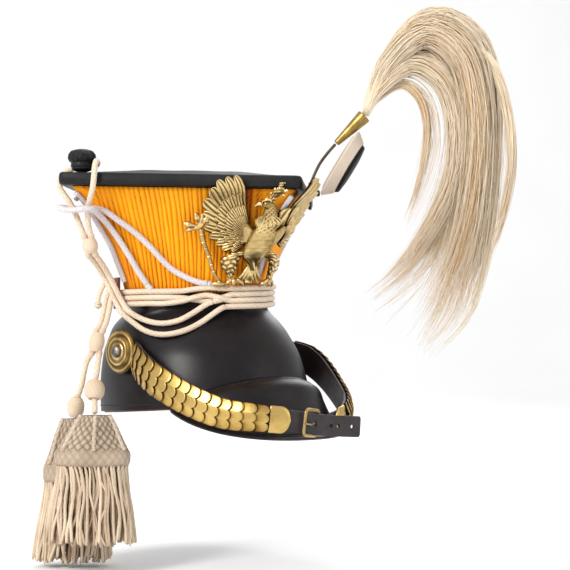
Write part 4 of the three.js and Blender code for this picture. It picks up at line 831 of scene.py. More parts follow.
def buildWinding():
    wind = {"turns": 3.5, "start": 87.2, "pitch": 4.95, "tilt": 0.03, "arc": 0.37, "slack": 3}
    points = []
    for quarter in range(int(wind["turns"] * 4)):
        corners = []
        for share in np.r_[wind["arc"] * np.linspace(0, 1, 7), 1]:
            following = share == 1
            middle = -np.pi / 2 + (quarter + following) * np.pi / 2
            bend = math.radians(-45 + 90 * (0 if following else share / wind["arc"]))
            climb = wind["start"] + wind["pitch"] * (quarter + share) / 4
            half, corner = float(windTable("half", climb)), float(windTable("round", climb))
            out = (half - corner) * math.sqrt(2)
            x = out * math.cos(middle) + corner * math.cos(middle + bend)
            y = back + out * math.sin(middle) + corner * math.sin(middle + bend)
            corners.append((x, y, climb + wind["tilt"] * x))
        points += corners[:-1]
        if quarter % 4 == wind["slack"] and quarter < 12:
            side = np.array([-1, -1, 0]) / math.sqrt(2)
            for share in slackShares:
                rise, out = windingSway(quarter // 4, share)
                points.append(tuple(np.array(corners[-2]) * (1 - share) + np.array(corners[-1]) * share
                                    + side * out + np.array([0, 0, rise])))
    parts = [braidAlong(curveThrough(points, 1.2), 4.6, 12)]
    # the two sagging strands run on under the turns
    for route in (((-23.7, -56.7, 86.3), (-17, -58.2, 87.0), (-9, -59.6, 88.4)),
                  ((-32.9, -52.3, 90.6), (-28, -54.6, 91.8), (-22, -56.4, 93.4))):
        parts.append(braidAlong(curveThrough(route, 0.9), 4.5, 12))
    makePiece("winding", parts, "creamCord", ["waist_cord"])


def buildLineEnd():
    # a short cut end, whipped and knotted
    line = curveThrough([(-86.6, 25, 106), (-88.6, 27.6, 99.5), (-90.6, 28, 93.5), (-91.4, 27.4, 87.4)], 0.5)
    parts = [braidAlong(line, 4.0, 12)]
    middle = line[-3]
    for lean, size in ((0.5, 2.3), (-0.6, 2.2), (1.5, 2.0)):
        t = np.linspace(0, 2 * np.pi, 40)
        loop = middle + np.column_stack([size * np.cos(t), size * np.sin(t) * math.cos(lean),
                                         size * np.sin(t) * math.sin(lean) - 0.2])
        parts.append(barAlong(loop, 1.15, 8, 0.75))
    makePiece("knotted_end", parts, "creamCord", ["line_end"])


def buildTab():
    # a curved strip with a line pressed along each edge
    turn = np.radians(np.linspace(174, 142, 25))
    tab = {"x": -48.8, "low": 85.0}
    rings = []
    for reach, up in [(30.8, 0.5), (30.8, 25.5), (31.3, 26), (32.2, 26), (32.7, 25.5), (32.7, 24.2),
                      (32.45, 23.8), (32.7, 23.4), (32.7, 2.6), (32.45, 2.2), (32.7, 1.8), (32.7, 0.5),
                      (32.2, 0), (31.3, 0)]:
        rings.append(np.column_stack([tab["x"] + reach * np.cos(turn), back + reach * np.sin(turn),
                                      np.full(len(turn), tab["low"] + up)]))
    makePiece("tab_leather", [wrapped(np.stack(rings, 1))], "brownLeather", ["waist_tab"])


buildWinding()
buildLineEnd()
buildTab()
print("winding ready")


# slides and tassels

slides = {
    "slide_upper": {"centre": (-113.6, 5.5, 135.8), "axis": (-4, 0, 13.8), "radius": 6.2, "half": 6.3,
                    "hole": 0, "ends": [("knob_loop", 0), ("knob_loop", -1), ("line_outer", 0),
                                        ("line_inner", 0)]},
    "slide_middle": {"centre": (-103.8, 10.1, 57.4), "axis": (-3.4, -0.3, -15), "radius": 6.2, "half": 8,
                     "hole": 0, "ends": [("drop_cord_front", -1), ("drop_cord_rear", -1), ("drop_front", 0),
                                         ("drop_rear", 0)]},
    "slide_front": {"centre": (-114.2, -2.6, 19.5), "axis": (1.9, 2.2, 8.4), "radius": 8.2, "half": 7.6,
                    "hole": 3.1, "ends": []},
    "slide_rear": {"centre": (-116.9, 20.6, 4.6), "axis": (0.4, -0.6, 8), "radius": 6.9, "half": 8, "hole": 0,
                   "ends": [("drop_rear", -1)]}}


def buildSlide(name, slide):
    # a wooden bead worked over with fine thread; each cord goes in through a small collar
    centre, axis = np.array(slide["centre"]), unit(np.array(slide["axis"], float))
    half, hole, count = slide["half"], slide["hole"], 84
    rows = 49
    height = np.linspace(-1, 1, rows)
    girth = slide["radius"] * (0.58 + 0.42 * (1 - np.abs(height) ** 2.6))
    row = np.arange(rows)[:, None] / (rows - 1) * 9
    stitch = np.abs(np.sin(7 * fullTurn(count)[None, :] + np.floor(row) * 0.9 + (row % 1) * 0.8))
    ring = np.abs(np.sin(np.pi * row))
    profile = np.column_stack([girth, height * half])
    if hole:
        profile = np.vstack([profile, [(hole, half * 0.97), (hole, 0), (hole, -half * 0.97)]])
        stitch = np.vstack([stitch, np.zeros((3, count))])
        ring = np.vstack([ring, np.zeros((3, 1))])
    points = turnedBody(profile, centre, axis, count)[0]
    away = points - centre
    away = unit(away - (away @ axis)[..., None] * axis)
    points = points + away * (0.22 * (stitch * 0.5 + ring * 0.5 - 0.8))[..., None]
    # painted shade: the grooves between the threads are darker
    parts = [wrapped(points, 0.5 + 0.3 * (0.4 * stitch + 0.6 * ring), joined=bool(hole))]
    for cord, end in slide["ends"]:
        line = curveThrough(cordRoutes[cord], 0.75)
        here = line[end]
        inward = unit(here - line[1 if end == 0 else -2])
        aim = here + inward * 3
        route = [here - inward * 1.6, here - inward * 0.8, here, here + inward * 1.5, (aim + centre) / 2]
        parts.append(barAlong(route, (2.55, 2.75, 2.75, 2.5, 2.0), 16, 0.6))
    makePiece(name + "_worked", parts, "creamCord", [name])


tasselTable = reader({
    "down": (0, 0.03, 0.25, 0.28, 0.37, 0.4, 0.7, 1),
    "spread": (0.42, 0.5, 0.93, 1, 1, 0.92, 0.98, 1.02)})
tassels = {
    "tassel_front": {"top": (-117.4, -8.6, 0), "band": (-120.4, -9, -34), "foot": (-121.4, -8.4, -103),
                     "head": (30, 15), "hem": (36, 15.5), "seed": 21},
    "tassel_rear": {"top": (-116.6, 21.2, -4), "band": (-110.5, 26.8, -50), "foot": (-113, 31.4, -122),
                    "head": (28, 14), "hem": (31, 14), "seed": 22}}
tasselTurn = math.radians(-38)      # the wide side is turned towards the front right
bandPlace = 0.33                    # the band's share of the way down


def tasselPoint(tassel, down, turn, share):
    down, turn, share = matched(down, turn, share)
    low = np.clip((down - bandPlace) / (1 - bandPlace), 0, 1)[..., None]
    high = np.clip(down / bandPlace, 0, 1)[..., None]
    top, band, foot = (np.array(tassel[k], float) for k in ("top", "band", "foot"))
    upper, lower = top * (1 - high) + band * high, band * (1 - low) + foot * low
    centre = np.where(down[..., None] < bandPlace, upper, lower)
    spread = tasselTable("spread", down) * share
    size = np.array(tassel["head"]) * (1 - low) + np.array(tassel["hem"]) * low
    wide, deep = size[..., 0] * spread * np.cos(turn), size[..., 1] * spread * np.sin(turn)
    c, s = math.cos(tasselTurn), math.sin(tasselTurn)
    return centre + np.stack([wide * c - deep * s, wide * s + deep * c, 0 * turn], -1)


def basketWeave(across, down):
    # two families of strands go over and under each other, at a slant
    first, second = across + down, across - down
    here, there = np.sin(np.pi * (first % 1)), np.sin(np.pi * (second % 1))
    over = (np.floor(first) + np.floor(second)) % 2 < 1
    return np.where(over, here ** 0.7 * (0.3 + 0.7 * there ** 0.4), there ** 0.7 * (0.3 + 0.7 * here ** 0.4))


def buildTasselHead(name, tassel):
    # woven cone over a wooden form, upright ribs of cord, and a padded band below
    count = 154
    turn = fullTurn(count)[None, :]
    cone = {"start": 0.004, "end": 0.262}
    band = {"start": 0.266, "end": 0.392}
    down = np.r_[np.linspace(cone["start"], cone["end"], 66), np.linspace(band["start"], band["end"], 24)]
    down = down[:, None]
    woven = basketWeave(turn / (2 * np.pi) * 22, down / cone["end"] * 3.9)
    bandShare = np.clip((down - band["start"]) / (band["end"] - band["start"]), 0, 1)
    bulge = np.sqrt(np.maximum(0, np.sin(np.pi * (0.04 + 0.92 * bandShare))))
    padded = basketWeave(turn / (2 * np.pi) * 26, bandShare * 1.5)
    onCone = down <= cone["end"]
    share = np.where(onCone, 0.915 + 0.07 * woven, 0.90 + 0.10 * bulge + 0.014 * padded)
    # painted shade: darker in the weave's grooves and at the band's edges, lighter on the band's swelling
    tone = np.where(onCone, -0.05 + 0.78 * woven, 0.25 + 0.26 * padded + 0.16 * bulge)
    parts = [wrapped(tasselPoint(tassel, down, turn, share), tone)]
    for rib in range(6):
        spot = -math.pi / 2 + 0.06 + rib * math.pi / 3
        line = tasselPoint(tassel, np.linspace(0.004, 0.268, 60), spot + np.zeros(60), 0.98)
        parts.append(braidAlong(line, 3.4, 10, 5.5, 2, 0.07))
    makePiece(name + "_head", parts, "wovenYarn", [name])


def buildFringe(name, tassel, seed):
    # soft strands hang in three rows from under the band, wave a little, and end raggedly
    random = np.random.default_rng(seed)
    start = 0.385
    parts = []
    for row, (share, count) in enumerate(((0.975, 66), (0.84, 52), (0.64, 32))):
        for i in range(count):
            turn = 2 * np.pi * (i + random.uniform(-0.32, 0.32)) / count
            down = np.linspace(start, random.uniform(0.94, 1.005), 24)
            low = (down - start) / (1 - start)
            slant = random.normal(0.10, 0.06) * np.exp(-low * 7)
            wave = random.normal(0, 0.075) * np.sin(low * random.uniform(4, 9) + random.uniform(0, 6))
            path = turn - slant + wave * np.clip(low * 3, 0, 1) + random.normal(0, 0.05) * low
            reach = share + random.uniform(-0.03, 0.025) + 0.03 * low * np.sin(
                low * random.uniform(4, 9) + random.uniform(0, 6))
            line = evenly(tasselPoint(tassel, down, path, np.minimum(reach, 1.02)), 2.4)
            along = np.linspace(0, lengthOf(line), len(line))[:, None]
            lay = np.cos(2 * fullTurn(5)[None, :] + 2 * np.pi * along / 7)
            size = random.uniform(1.05, 1.4) * (1 - 0.25 * np.exp(-along / 4))
            # painted shade: the inner rows are darker; the lay of the yarn and each strand's own tone vary it
            tone = 0.72 - 0.26 * row + 0.12 * lay + random.normal(0, 0.13)
            parts.append(barAlong(line, size * (1 + 0.07 * lay), 5, tone))
    makePiece(name + "_fringe", parts, "tasselYarn", [name])


for slideName, slideSizes in slides.items():
    buildSlide(slideName, slideSizes)
for tasselName, tasselSizes in tassels.items():
    buildTasselHead(tasselName, tasselSizes)
    buildFringe(tasselName, tasselSizes, tasselSizes["seed"])
print("tassels ready")


# chin strap; both halves are worked out as the wearer's right one, and the left one is mirrored

strapRoutes = {
    "right": [(-81.4, 17, 53), (-82, 6, 50.2), (-81.4, -6, 47.1), (-81.6, -14, 45.2), (-84.9, -23, 43),
              (-89.2, -33, 39.8), (-91.6, -46, 34), (-90.8, -60, 27), (-81, -86, 13.5), (-67, -108, 4),
              (-52, -125, 1), (-28, -139.5, -2), (-5, -145.5, -5.6), (15, -149, -7.6), (36, -153, -9)],
    "left": [(-81.4, 17, 53), (-82, 6, 50.2), (-81.5, -6, 47.1), (-81.6, -14, 45.6), (-84, -23, 43.8),
             (-86.8, -33, 41), (-87, -45, 35.5), (-84.5, -60, 27), (-75, -85, 13.5), (-62.5, -107, 4),
             (-48, -122, -0.5), (-28, -136, -4), (-12.6, -141.6, -6.4)]}
strapLines = {side: curveThrough(route, 0.5) for side, route in strapRoutes.items()}
strapTable = reader({
    "reach": (0, 60, 160, 190, 260),
    "width": (26, 24, 20, 16.6, 16.6)})
strapThick = 2.0


def strapPoint(side, reach, across, lift):
    # a place on the strap, from lengths along it, across it and out of it
    reach, across, lift = matched(reach, across, lift)
    line = strapLines[side]
    run = np.linspace(0, lengthOf(line), len(line))
    soft = np.gradient(line, axis=0)
    wide = np.ones(9) / 9
    padded = np.vstack([soft[:1]] * 4 + [soft] + [soft[-1:]] * 4)
    soft = np.stack([np.convolve(padded[:, k], wide, "valid") for k in range(3)], 1)
    middle, along = (np.stack([np.interp(reach, run, v[:, k]) for k in range(3)], -1) for v in (line, soft))
    along = unit(along)
    up = unit(np.array([0, 0, 1.0]) - along * along[..., 2:])
    out = np.cross(along, up)
    past = np.clip(reach - run[-1], 0, None)[..., None]
    return middle + up * across[..., None] + out * lift[..., None] + along * past


def mirror(parts, side):
    return [(np.asarray(points).reshape(-1, 3) * [1 if side == "right" else -1, 1, 1], faces, shade)
            for points, faces, shade in parts]


boss = {"x": 85, "y": 2.5, "z": 50, "lean": -0.09, "stem": 5}
bossBase = (-boss["x"], boss["y"], boss["z"])
bossAxis = (-1, boss["lean"], 0)


def pierce(piece, cutters):
    # cuts round holes through a piece, and keeps it closed
    helpers = []
    for points, faces, _ in cutters:
        helper = addObject("cutter", closedMesh("cutter", points, faces))
        helpers.append(helper)
        change = piece.modifiers.new("hole", "BOOLEAN")
        change.operation, change.solver, change.object = "DIFFERENCE", "EXACT", helper
    bpy.context.view_layer.update()
    graph = bpy.context.evaluated_depsgraph_get()
    whole = bpy.data.meshes.new_from_object(piece.evaluated_get(graph))
    piece.modifiers.clear()
    piece.data = whole
    for helper in helpers:
        bpy.data.objects.remove(helper)


def buildStrap(side):
    length = lengthOf(strapLines[side])
    reach = np.r_[0.0, 0.6, np.linspace(1.6, length - 1.6, 150), length - 0.6, length]
    blunt = np.ones(len(reach))
    blunt[[0, -1]], blunt[[1, -2]] = 0.72, 0.9
    half = strapTable("width", reach) / 2 * blunt
    edge = strapThick / 2
    section = [(-1, -0.5), (-0.985, -0.9), (-0.94, -1), (-0.5, -1), (0, -1), (0.5, -1), (0.94, -1),
               (0.985, -0.9), (1, -0.5), (1, 0.5), (0.985, 0.9), (0.94, 1), (0.86, 0.92), (0.5, 1), (0, 1),
               (-0.5, 1), (-0.86, 0.92), (-0.94, 1), (-0.985, 0.9), (-1, 0.5)]
    rings = np.stack([strapPoint(side, reach, half * across, edge * lift * np.where(blunt < 0.8, 0.6, 1))
                      for across, lift in section], 1)
    piece = makePiece("strap_leather_" + side, mirror([wrapped(rings)], side), "strapLeather",
                      ["strap_" + side])
    eye = turnedBody([(boss["stem"] + gap, -12), (boss["stem"] + gap, 12)], bossBase, bossAxis, 32)
    cutters = [eye]
    if side == "right":
        for fromTip, radius in ((8, 1.5), (21, 1.5), (28, 1.5), (43.7, 2.9)):
            middle = strapPoint(side, length - fromTip, 0, 0)
            axis = strapPoint(side, length - fromTip, 0, 1) - middle
            cutters.append(turnedBody([(radius, -5), (radius, 5)], middle, axis, 24))
    pierce(piece, mirror(cutters, side))
    smoothFaces(piece.data)
    piece.data.set_sharp_from_angle(angle=math.radians(40))


scale = {"start": 37, "pitch": 9.2, "rows": 15, "base": 1.1, "camber": 3, "lobe": 2.2}
scaleLift = strapThick / 2 + gap + 0.25


def sheet(top, under, shade):
    # a closed skin over an upper and an under side; the under side is painted dark as shade
    rings = np.concatenate([top, under[:, ::-1]], 1)
    return wrapped(rings, np.concatenate([shade, np.zeros(shade.shape)], 1))


def scalePlate(side, row):
    # one smooth plate with three round lobes at its free edge, hollow behind, tucked under the plate before
    across = np.linspace(-1, 1, 37)
    share = np.r_[np.linspace(0, 0.84, 6), 0.9, 0.94, 0.97, 1]
    start = scale["start"] + scale["pitch"] * row - (0.6 if row else 0)
    end = scale["start"] + scale["pitch"] * (row + 1)
    near = (across * 1.5 + 0.5) % 1 - 0.5
    lobes = np.sqrt(np.maximum(0, 1 - (2 * near) ** 2 * 0.97))
    v, t = np.meshgrid(across, share, indexing="ij")
    tongue = (scale["lobe"] + 1) * lobes[:, None] - 0.9
    reach = start + (end + tongue - start) * t
    half = (strapTable("width", reach) / 2 + 1) * (1 - 0.012 * np.clip((t - 0.9) / 0.1, 0, 1))
    swell = 0.22 * lobes[:, None] * np.clip(t * 1.3 - 0.3, 0, 1)
    edge = np.clip((t - 0.9) / 0.1, 0, 1) ** 2
    lift = scaleLift + scale["base"] + scale["camber"] * (1 - v ** 2) + 1.9 * t ** 0.9 + swell - 0.3 * edge
    top = strapPoint(side, reach, v * half, lift)
    under = strapPoint(side, reach, v * half * 0.985,
                       np.maximum(lift - 0.8 - 0.5 * (1 - edge), scaleLift + 0.02))
    covered = start + 0.6 + tongue - 1.2 if row else start - 9
    tuckedShade = np.exp(-np.clip(reach - covered, 0, None) / 1.5)
    darkerToChin = np.clip((row - 9) / 6, 0, 1)       # towards the chin
    # painted shade: dark just past the edge of the plate above, on the turned-down free edge and at both
    # sides, with a painted highlight along the middle; the rows towards the chin are darker, most at each
    # plate's root
    shade = (0.84 - 0.8 * tuckedShade - 0.36 * edge - 0.3 * np.abs(v) ** 8 + 0.12 * (1 - v ** 2)
             - 0.35 * darkerToChin * (1 - t) - 0.12 * darkerToChin)
    return sheet(top, under, shade)


def buildScales(side):
    for stretch in range(3):
        plates = [scalePlate(side, stretch * 5 + row) for row in range(5)]
        makePiece(f"scale_plates_{side}_{stretch + 1}", mirror(plates, side), "scaleBrass",
                  [f"scales_{side}_{stretch + 1}"])


def buildTip(side):
    # the last plate is plain, with a round end
    start = scale["start"] + scale["pitch"] * scale["rows"] + 3
    t = np.r_[np.linspace(0, 0.5, 14), 0.5 + 0.5 * np.sin(np.linspace(0.05, np.pi / 2, 22))]
    tip = {"long": 16.6, "half": 10.4}
    reach = start + tip["long"] * t
    past = np.clip(t - 0.5, 0, None) / 0.505
    half = tip["half"] * np.sqrt(np.clip(1 - past ** 2.2, 0.0, 1))
    rise = 2.2 - 0.9 * t - 0.5 * np.clip((t - 0.93) / 0.07, 0, 1)
    rows = [strapPoint(side, reach, half * v, scaleLift + rise + (1 - v * v) - 0.5 * abs(v) ** 10)
            for v in np.linspace(-1, 1, 25)]
    rows += [strapPoint(side, reach, half * v, scaleLift + 0.02) for v in (1, 0.4, -0.4, -1)]
    makePiece("tip_plate_" + side, mirror([wrapped(np.stack(rows, 1), 0.9)], side), "scaleBrass",
              ["tip_" + side])


def buildBuckle():
    # a rounded frame that leans over the tongue, and a prong through it
    size = {"fromTip": 46, "wide": 21, "tall": 21.5, "lean": 0.45, "out": 0.6, "up": 0.7}
    reach = lengthOf(strapLines["right"]) - size["fromTip"]
    middle = strapPoint("right", reach, size["up"], size["out"])
    up = unit(strapPoint("right", reach, size["up"] + 1, size["out"]) - middle)
    out = unit(strapPoint("right", reach, size["up"], size["out"] + 1) - middle)
    along = np.cross(up, out)
    c, s = math.cos(size["lean"]), math.sin(size["lean"])
    along, out = along * c - out * s, out * c + along * s
    rod, corner = (1.5, 1.2), 3.0
    width, height = size["wide"] / 2 - 1.3, size["tall"] / 2 - 0.95
    frameLine = []
    for quarter in range(4):
        for bend in np.linspace(0, 90, 9):
            turn = math.radians(quarter * 90 + bend)
            signX, signY = (1, -1, -1, 1)[quarter], (1, 1, -1, -1)[quarter]
            frameLine.append(middle + along * (signX * (width - corner) + corner * math.cos(turn))
                             + up * (signY * (height - corner) + corner * math.sin(turn)))
    frameLine = np.array(frameLine)
    turn = fullTurn(12)
    rings = []
    for before, here, after in zip(np.roll(frameLine, 1, 0), frameLine, np.roll(frameLine, -1, 0)):
        forward = unit(after - before)
        side = np.cross(forward, out)
        rings.append(here + np.cos(turn)[:, None] * side * rod[0] + np.sin(turn)[:, None] * out * rod[1])
    makePiece("buckle_frame", [wrapped(rings, 0.6, joined=True)], "castBrass", ["buckle"])
    start = strapPoint("right", reach, -0.5, 0)
    ahead = unit(strapPoint("right", reach + 1, -0.5, 0) - start)
    away = unit(strapPoint("right", reach, -0.5, 1) - start)
    line = curveThrough([start + ahead * f + away * l for f, l in
                         ((4.4, -2.6), (3, -0.7), (0.9, 1.7), (-3, 4.4), (-8.6, 7.1))], 0.6)
    makePiece("prong", [barAlong(line, np.linspace(1.0, 0.72, len(line)), 12, 0.6)], "castBrass",
              ["buckle_prong"])


def buildBoss(side):
    # a round cast boss with raised rings and a steel screw
    profile = roundedProfile([
        (0, -5.3), (boss["stem"], -5.3), (boss["stem"], 0), (18.3, 0), (18.5, 0.7), (18.2, 1.5), (17.3, 1.9),
        (16.4, 2.9), (15.2, 3.0), (14.2, 2.2), (12.7, 2.0), (12.2, 3.4), (11.4, 4.8), (10.2, 5), (9.2, 4.3),
        (7.6, 4.4), (6.8, 5), (0, 5)], 5)
    # painted shade: dark low down and in the grooves, with painted highlights on the raised rings and the top
    shade = np.interp(profile[:, 1], [-5, 1.9, 3, 4.2, 5], [0.1, 0.25, 0.7, 0.4, 0.8])
    segments = 112
    points, faces, _ = turnedBody(profile, bossBase, bossAxis, segments)
    makePiece("boss_" + side + "_cast", mirror([(points, faces, np.repeat(shade, segments))], side),
              "castBrass", ["boss_" + side])
    dome = [(0, 5.35), (5.1, 5.35), (5.2, 5.7)] + [(5.2 * math.cos(a), 5.7 + 3.0 * math.sin(a))
                                                   for a in np.linspace(0.15, 1.5, 9)]
    makePiece("screw_" + side, mirror([turnedBody(dome, bossBase, bossAxis, 40)], side), "steel",
              ["boss_screw_" + side])


for strapSide in ("right", "left"):
    buildStrap(strapSide)
    buildScales(strapSide)
    buildTip(strapSide)
    buildBoss(strapSide)
buildBuckle()
print("strap ready")


# eagle plate; along is measured round the cover from the front ridge, towards the wearer's right

plate = {"ridge": 7.4, "near": 6.6, "far": 2.5, "fade": 8, "farSlope": 0.25, "lean": 0.28, "leanFrom": 166}


def platePoint(along, z, lift):
    along, z, lift = matched(along, z, lift)
    level = board["bottom"] - 3 * np.logaddexp(0, (board["bottom"] - z) / 3)
    corner = coverTable("round", level)
    length = halfOfSquare(coverTable("ridge", level), corner) - corner + corner * np.pi / 4
    near = along >= 0
    side = np.where(near, plate["near"], plate["far"] - plate["farSlope"] * along)
    slant = np.hypot(1, (coverTable("ridge", level + 1.5) - coverTable("ridge", level - 1.5)) / 3)
    share = np.minimum(1, np.abs(along) / plate["fade"])
    share = share * share * (3 - 2 * share)
    stand = plate["ridge"] * slant * (1 - share) + side * share
    rise = plate["lean"] * 5 * np.logaddexp(0, (z - plate["leanFrom"]) / 5)
    s = np.where(near, 1, -1) - along / length
    point = coverPoint(np.where(near, 3, 0), s, level, stand + rise + lift)
    point[..., 2] = z
    return point


def feather(shoulder, side, turn, start, reach, width, lift):
    # a domed blade with lengthwise ribs and grooves between them; its root lies under its neighbours
    ribs = 3
    t = np.r_[np.linspace(0, 0.84, 7), 0.91, 0.96, 0.988, 1][:, None]
    v = np.linspace(-1, 1, 6 * ribs + 1)[None, :]
    blunt = np.clip(1 - ((t - 0.86) / 0.14).clip(0, 1) ** 2.4, 0.02, 1) ** 0.5
    half = width * (blunt * (0.62 + 0.38 * np.sin(np.pi * t * 0.7)))
    distance, bend = start + (reach - start) * t, np.radians(turn)
    along = shoulder[0] + side * (distance * np.sin(bend) + v * half * np.cos(bend))
    z = shoulder[1] + distance * np.cos(bend) - v * half * np.sin(bend)
    rib = np.abs(np.cos(ribs * np.pi / 2 * v)) ** 0.8
    notch = 0.12 * np.abs(np.sin(np.pi * (t * (reach - start) / 2.4 + 0.5 * np.abs(v))))
    dome = np.sqrt(np.maximum(0, 1 - v ** 2))
    relief = 0.9 * dome + 0.85 * rib * (0.4 + 0.6 * t) + notch
    # painted shade: dark in the grooves and at the root under the neighbours; a painted highlight on the ribs
    # and along the dome towards the tip
    tone = -0.1 + 0.74 * rib + 0.36 * dome * t - 0.25 * np.exp(-t * 5)
    return sheet(platePoint(along, z, lift + relief + 0.5 * t), platePoint(along, z, lift - 0.55), tone)


wings = {
    "near": {"shoulder": (13.5, 141), "side": 1, "feathers": [
        (58, 34), (61, 40), (64, 46), (62.5, 52), (58, 59), (51, 67), (43, 76), (34.5, 85), (27, 96),
        (22, 110), (16, 128)]},
    "far": {"shoulder": (-2, 141), "side": -1, "feathers": [
        (47, 4), (50, 12), (52, 20), (52, 29), (50, 39), (45, 49), (37, 59), (28, 70), (20, 84), (13, 108)]}}


def buildWing(name):
    wing = wings[name]
    shoulder, side, feathers = wing["shoulder"], wing["side"], wing["feathers"]
    reach, turn = (np.array([f[k] for f in feathers], float) for k in (0, 1))
    # a thin membrane lies behind the feathers; its dark tone is painted shade between them
    sweep = np.linspace(turn[0] - 2, turn[-1] + 4, 60)[:, None]
    out = np.linspace(0.04, 0.9, 14)[None, :] * np.interp(sweep, turn, reach)
    bend = np.radians(sweep)
    along, z = shoulder[0] + side * out * np.sin(bend), shoulder[1] + out * np.cos(bend)
    membrane = np.concatenate([platePoint(along, z, 1.3), platePoint(along, z, 0.1)[:, ::-1]], 1)
    parts = [wrapped(membrane, 0.12)]
    for i, (far, bend) in enumerate(feathers):
        following = feathers[i + 1][1] if i + 1 < len(feathers) else bend + 15
        width = math.radians(following - bend) * far * 0.56
        parts.append(feather(shoulder, side, bend, far * 0.3, far, width, 1.1 + 0.1 * (i % 2)))
    for share, lift, shift in ((0.72, 2.0, 0.5), (0.54, 2.8, 0.0), (0.38, 3.4, 0.5), (0.24, 3.8, 0.0)):
        for i in range(len(feathers) - 1):
            (far, bend), (nextFar, nextBend) = feathers[i], feathers[i + 1]
            middle = bend + (nextBend - bend) * shift
            length = (far * (1 - shift) + nextFar * shift) * share
            width = math.radians(nextBend - bend) * length * 0.62
            parts.append(feather(shoulder, side, middle, length * 0.42, length, width, lift))
    return parts


limbs = {      # each row: along the plate, height, half width, half depth, lift off the plate
    "body": [(8.2, 105.4, 3, 1.5, 2.5), (8.4, 113, 2, 1.8, 3), (9, 121, 2.6, 2.4, 4.5),
        (9.6, 126, 5.4, 4.6, 5.5), (9.4, 133, 7, 6.2, 6), (8.8, 141, 6.6, 6, 6), (8.2, 148, 5, 4.8, 6),
        (7.8, 156, 3.6, 4, 6), (8.4, 163, 3.2, 3.8, 6), (9, 168, 2.2, 2.6, 6)],
    "head": [(18.4, 165.4, 0.6, 0.7, 7), (15.4, 167, 1.6, 2, 6.8), (10.4, 166.6, 2.6, 3.6, 6.2)],
    "crown": [(9.4, 167.5, 2.6, 2.6, 5), (9.2, 171.5, 2.4, 2.4, 5), (8.6, 176, 3.6, 3, 5),
        (8, 180.5, 1.5, 1.4, 5), (7.8, 183.4, 2, 1, 5)],
    "shoulder": [(14, 138, 7, 3, 3), (17.5, 146, 6.4, 3, 3), (25, 154, 3, 2, 2.4)],
    "farShoulder": [(6, 134, 4.4, 3, 3.4), (2, 142, 4, 3, 3), (-2.4, 151, 2.4, 2, 2.4)],
    "nearLeg": [(14, 131, 5, 3, 4), (19.5, 129, 8, 3.8, 4), (25, 124.6, 7.6, 4.4, 4),
        (23.6, 117.5, 6, 3.8, 3.6), (20.4, 111, 2.6, 2, 3), (17, 106, 5.2, 1.8, 2.4)],
    "farLeg": [(5, 131, 5, 3, 4), (0.8, 128.6, 5, 3.6, 4), (-4.6, 124, 5.6, 4, 4), (-6.2, 117, 4.6, 3.4, 4),
        (-4.6, 111, 2.4, 2, 4), (-2.6, 106.4, 4.4, 1.8, 4)]}


def limb(name, steps, sides, relief=None):
    # a rounded limb through its rows; relief gives an extra lift by angle, share and height
    rows = limbs[name]
    names = ("along", "z", "across", "deep", "lift")
    read = reader({"key": range(len(rows)), **dict(zip(names, zip(*rows)))})
    key = np.linspace(0, len(rows) - 1, steps)[:, None]
    turn = fullTurn(sides)[None, :]
    extra = relief(turn, key) if relief else 0 * turn + 0 * key
    swell = 1 + extra / np.maximum(read("across", key), 2)
    points = platePoint(read("along", key) + read("across", key) * swell * np.cos(turn), read("z", key),
                        read("lift", key) + read("deep", key) * swell * np.sin(turn))
    # painted light: the side facing out from the plate is lighter and the side towards it darker; raised
    # relief is lighter than its hollows
    tone = 0.36 + 0.3 * np.sin(turn) + 0.9 * extra + 0 * key
    return wrapped(points, tone)


def scaleFeathers(turn, key, rows, count, high):
    # small round feathers in rows, each half a step from the row above, their free ends down
    row = key * rows
    shift = np.floor(row) % 2 * np.pi
    scallop = np.sqrt(np.abs(np.cos((turn * count + shift) / 2)))
    return high * (scallop * np.sqrt(np.maximum(0, 1 - (row % 1) ** 2)) - 0.6)


def breastFeathers(turn, key):
    # fine on the neck, almost smooth on the chest, with a curl low on the belly
    neck, belly = np.clip((key - 5.2) / 0.8, 0, 1), np.clip((3.6 - key) / 1.0, 0, 1)
    swirl = 0.45 * np.sin(2 * (turn - 4.4) + 7 * np.hypot(turn - 4.9, 1.4 * (key - 3.1)))
    return (scaleFeathers(turn, key, 4.5, 13, 0.55) * neck + belly * swirl
            + scaleFeathers(turn, key, 2.5, 9, 0.16) * (1 - neck) * (1 - belly))


def curls(turn, key):
    # rows of round curls, like the feathers of a thigh
    row = key * 1.9 + 0.22 * np.sin(4 * turn)
    step = np.abs(np.sin(3.5 * turn + np.floor(row) % 2 * np.pi / 2)) ** 0.6
    return 0.95 * step * np.sin(np.pi * (row % 1)) ** 0.6 - 0.5


def crownRibs(turn, key):
    return 0.6 * np.abs(np.sin(4 * turn)) ** 0.7 * np.abs(np.sin(5.5 * key)) ** 0.7 - 0.3


def plateBar(rows, radius, sides, shade):
    # a bar through rows of (along, height, lift), with radii spread evenly along it
    line = curveThrough(platePoint(*np.array(rows, float).T), 0.7)
    spread = np.interp(np.linspace(0, 1, len(line)), np.linspace(0, 1, len(radius)), radius)
    return barAlong(line, spread, sides, shade)


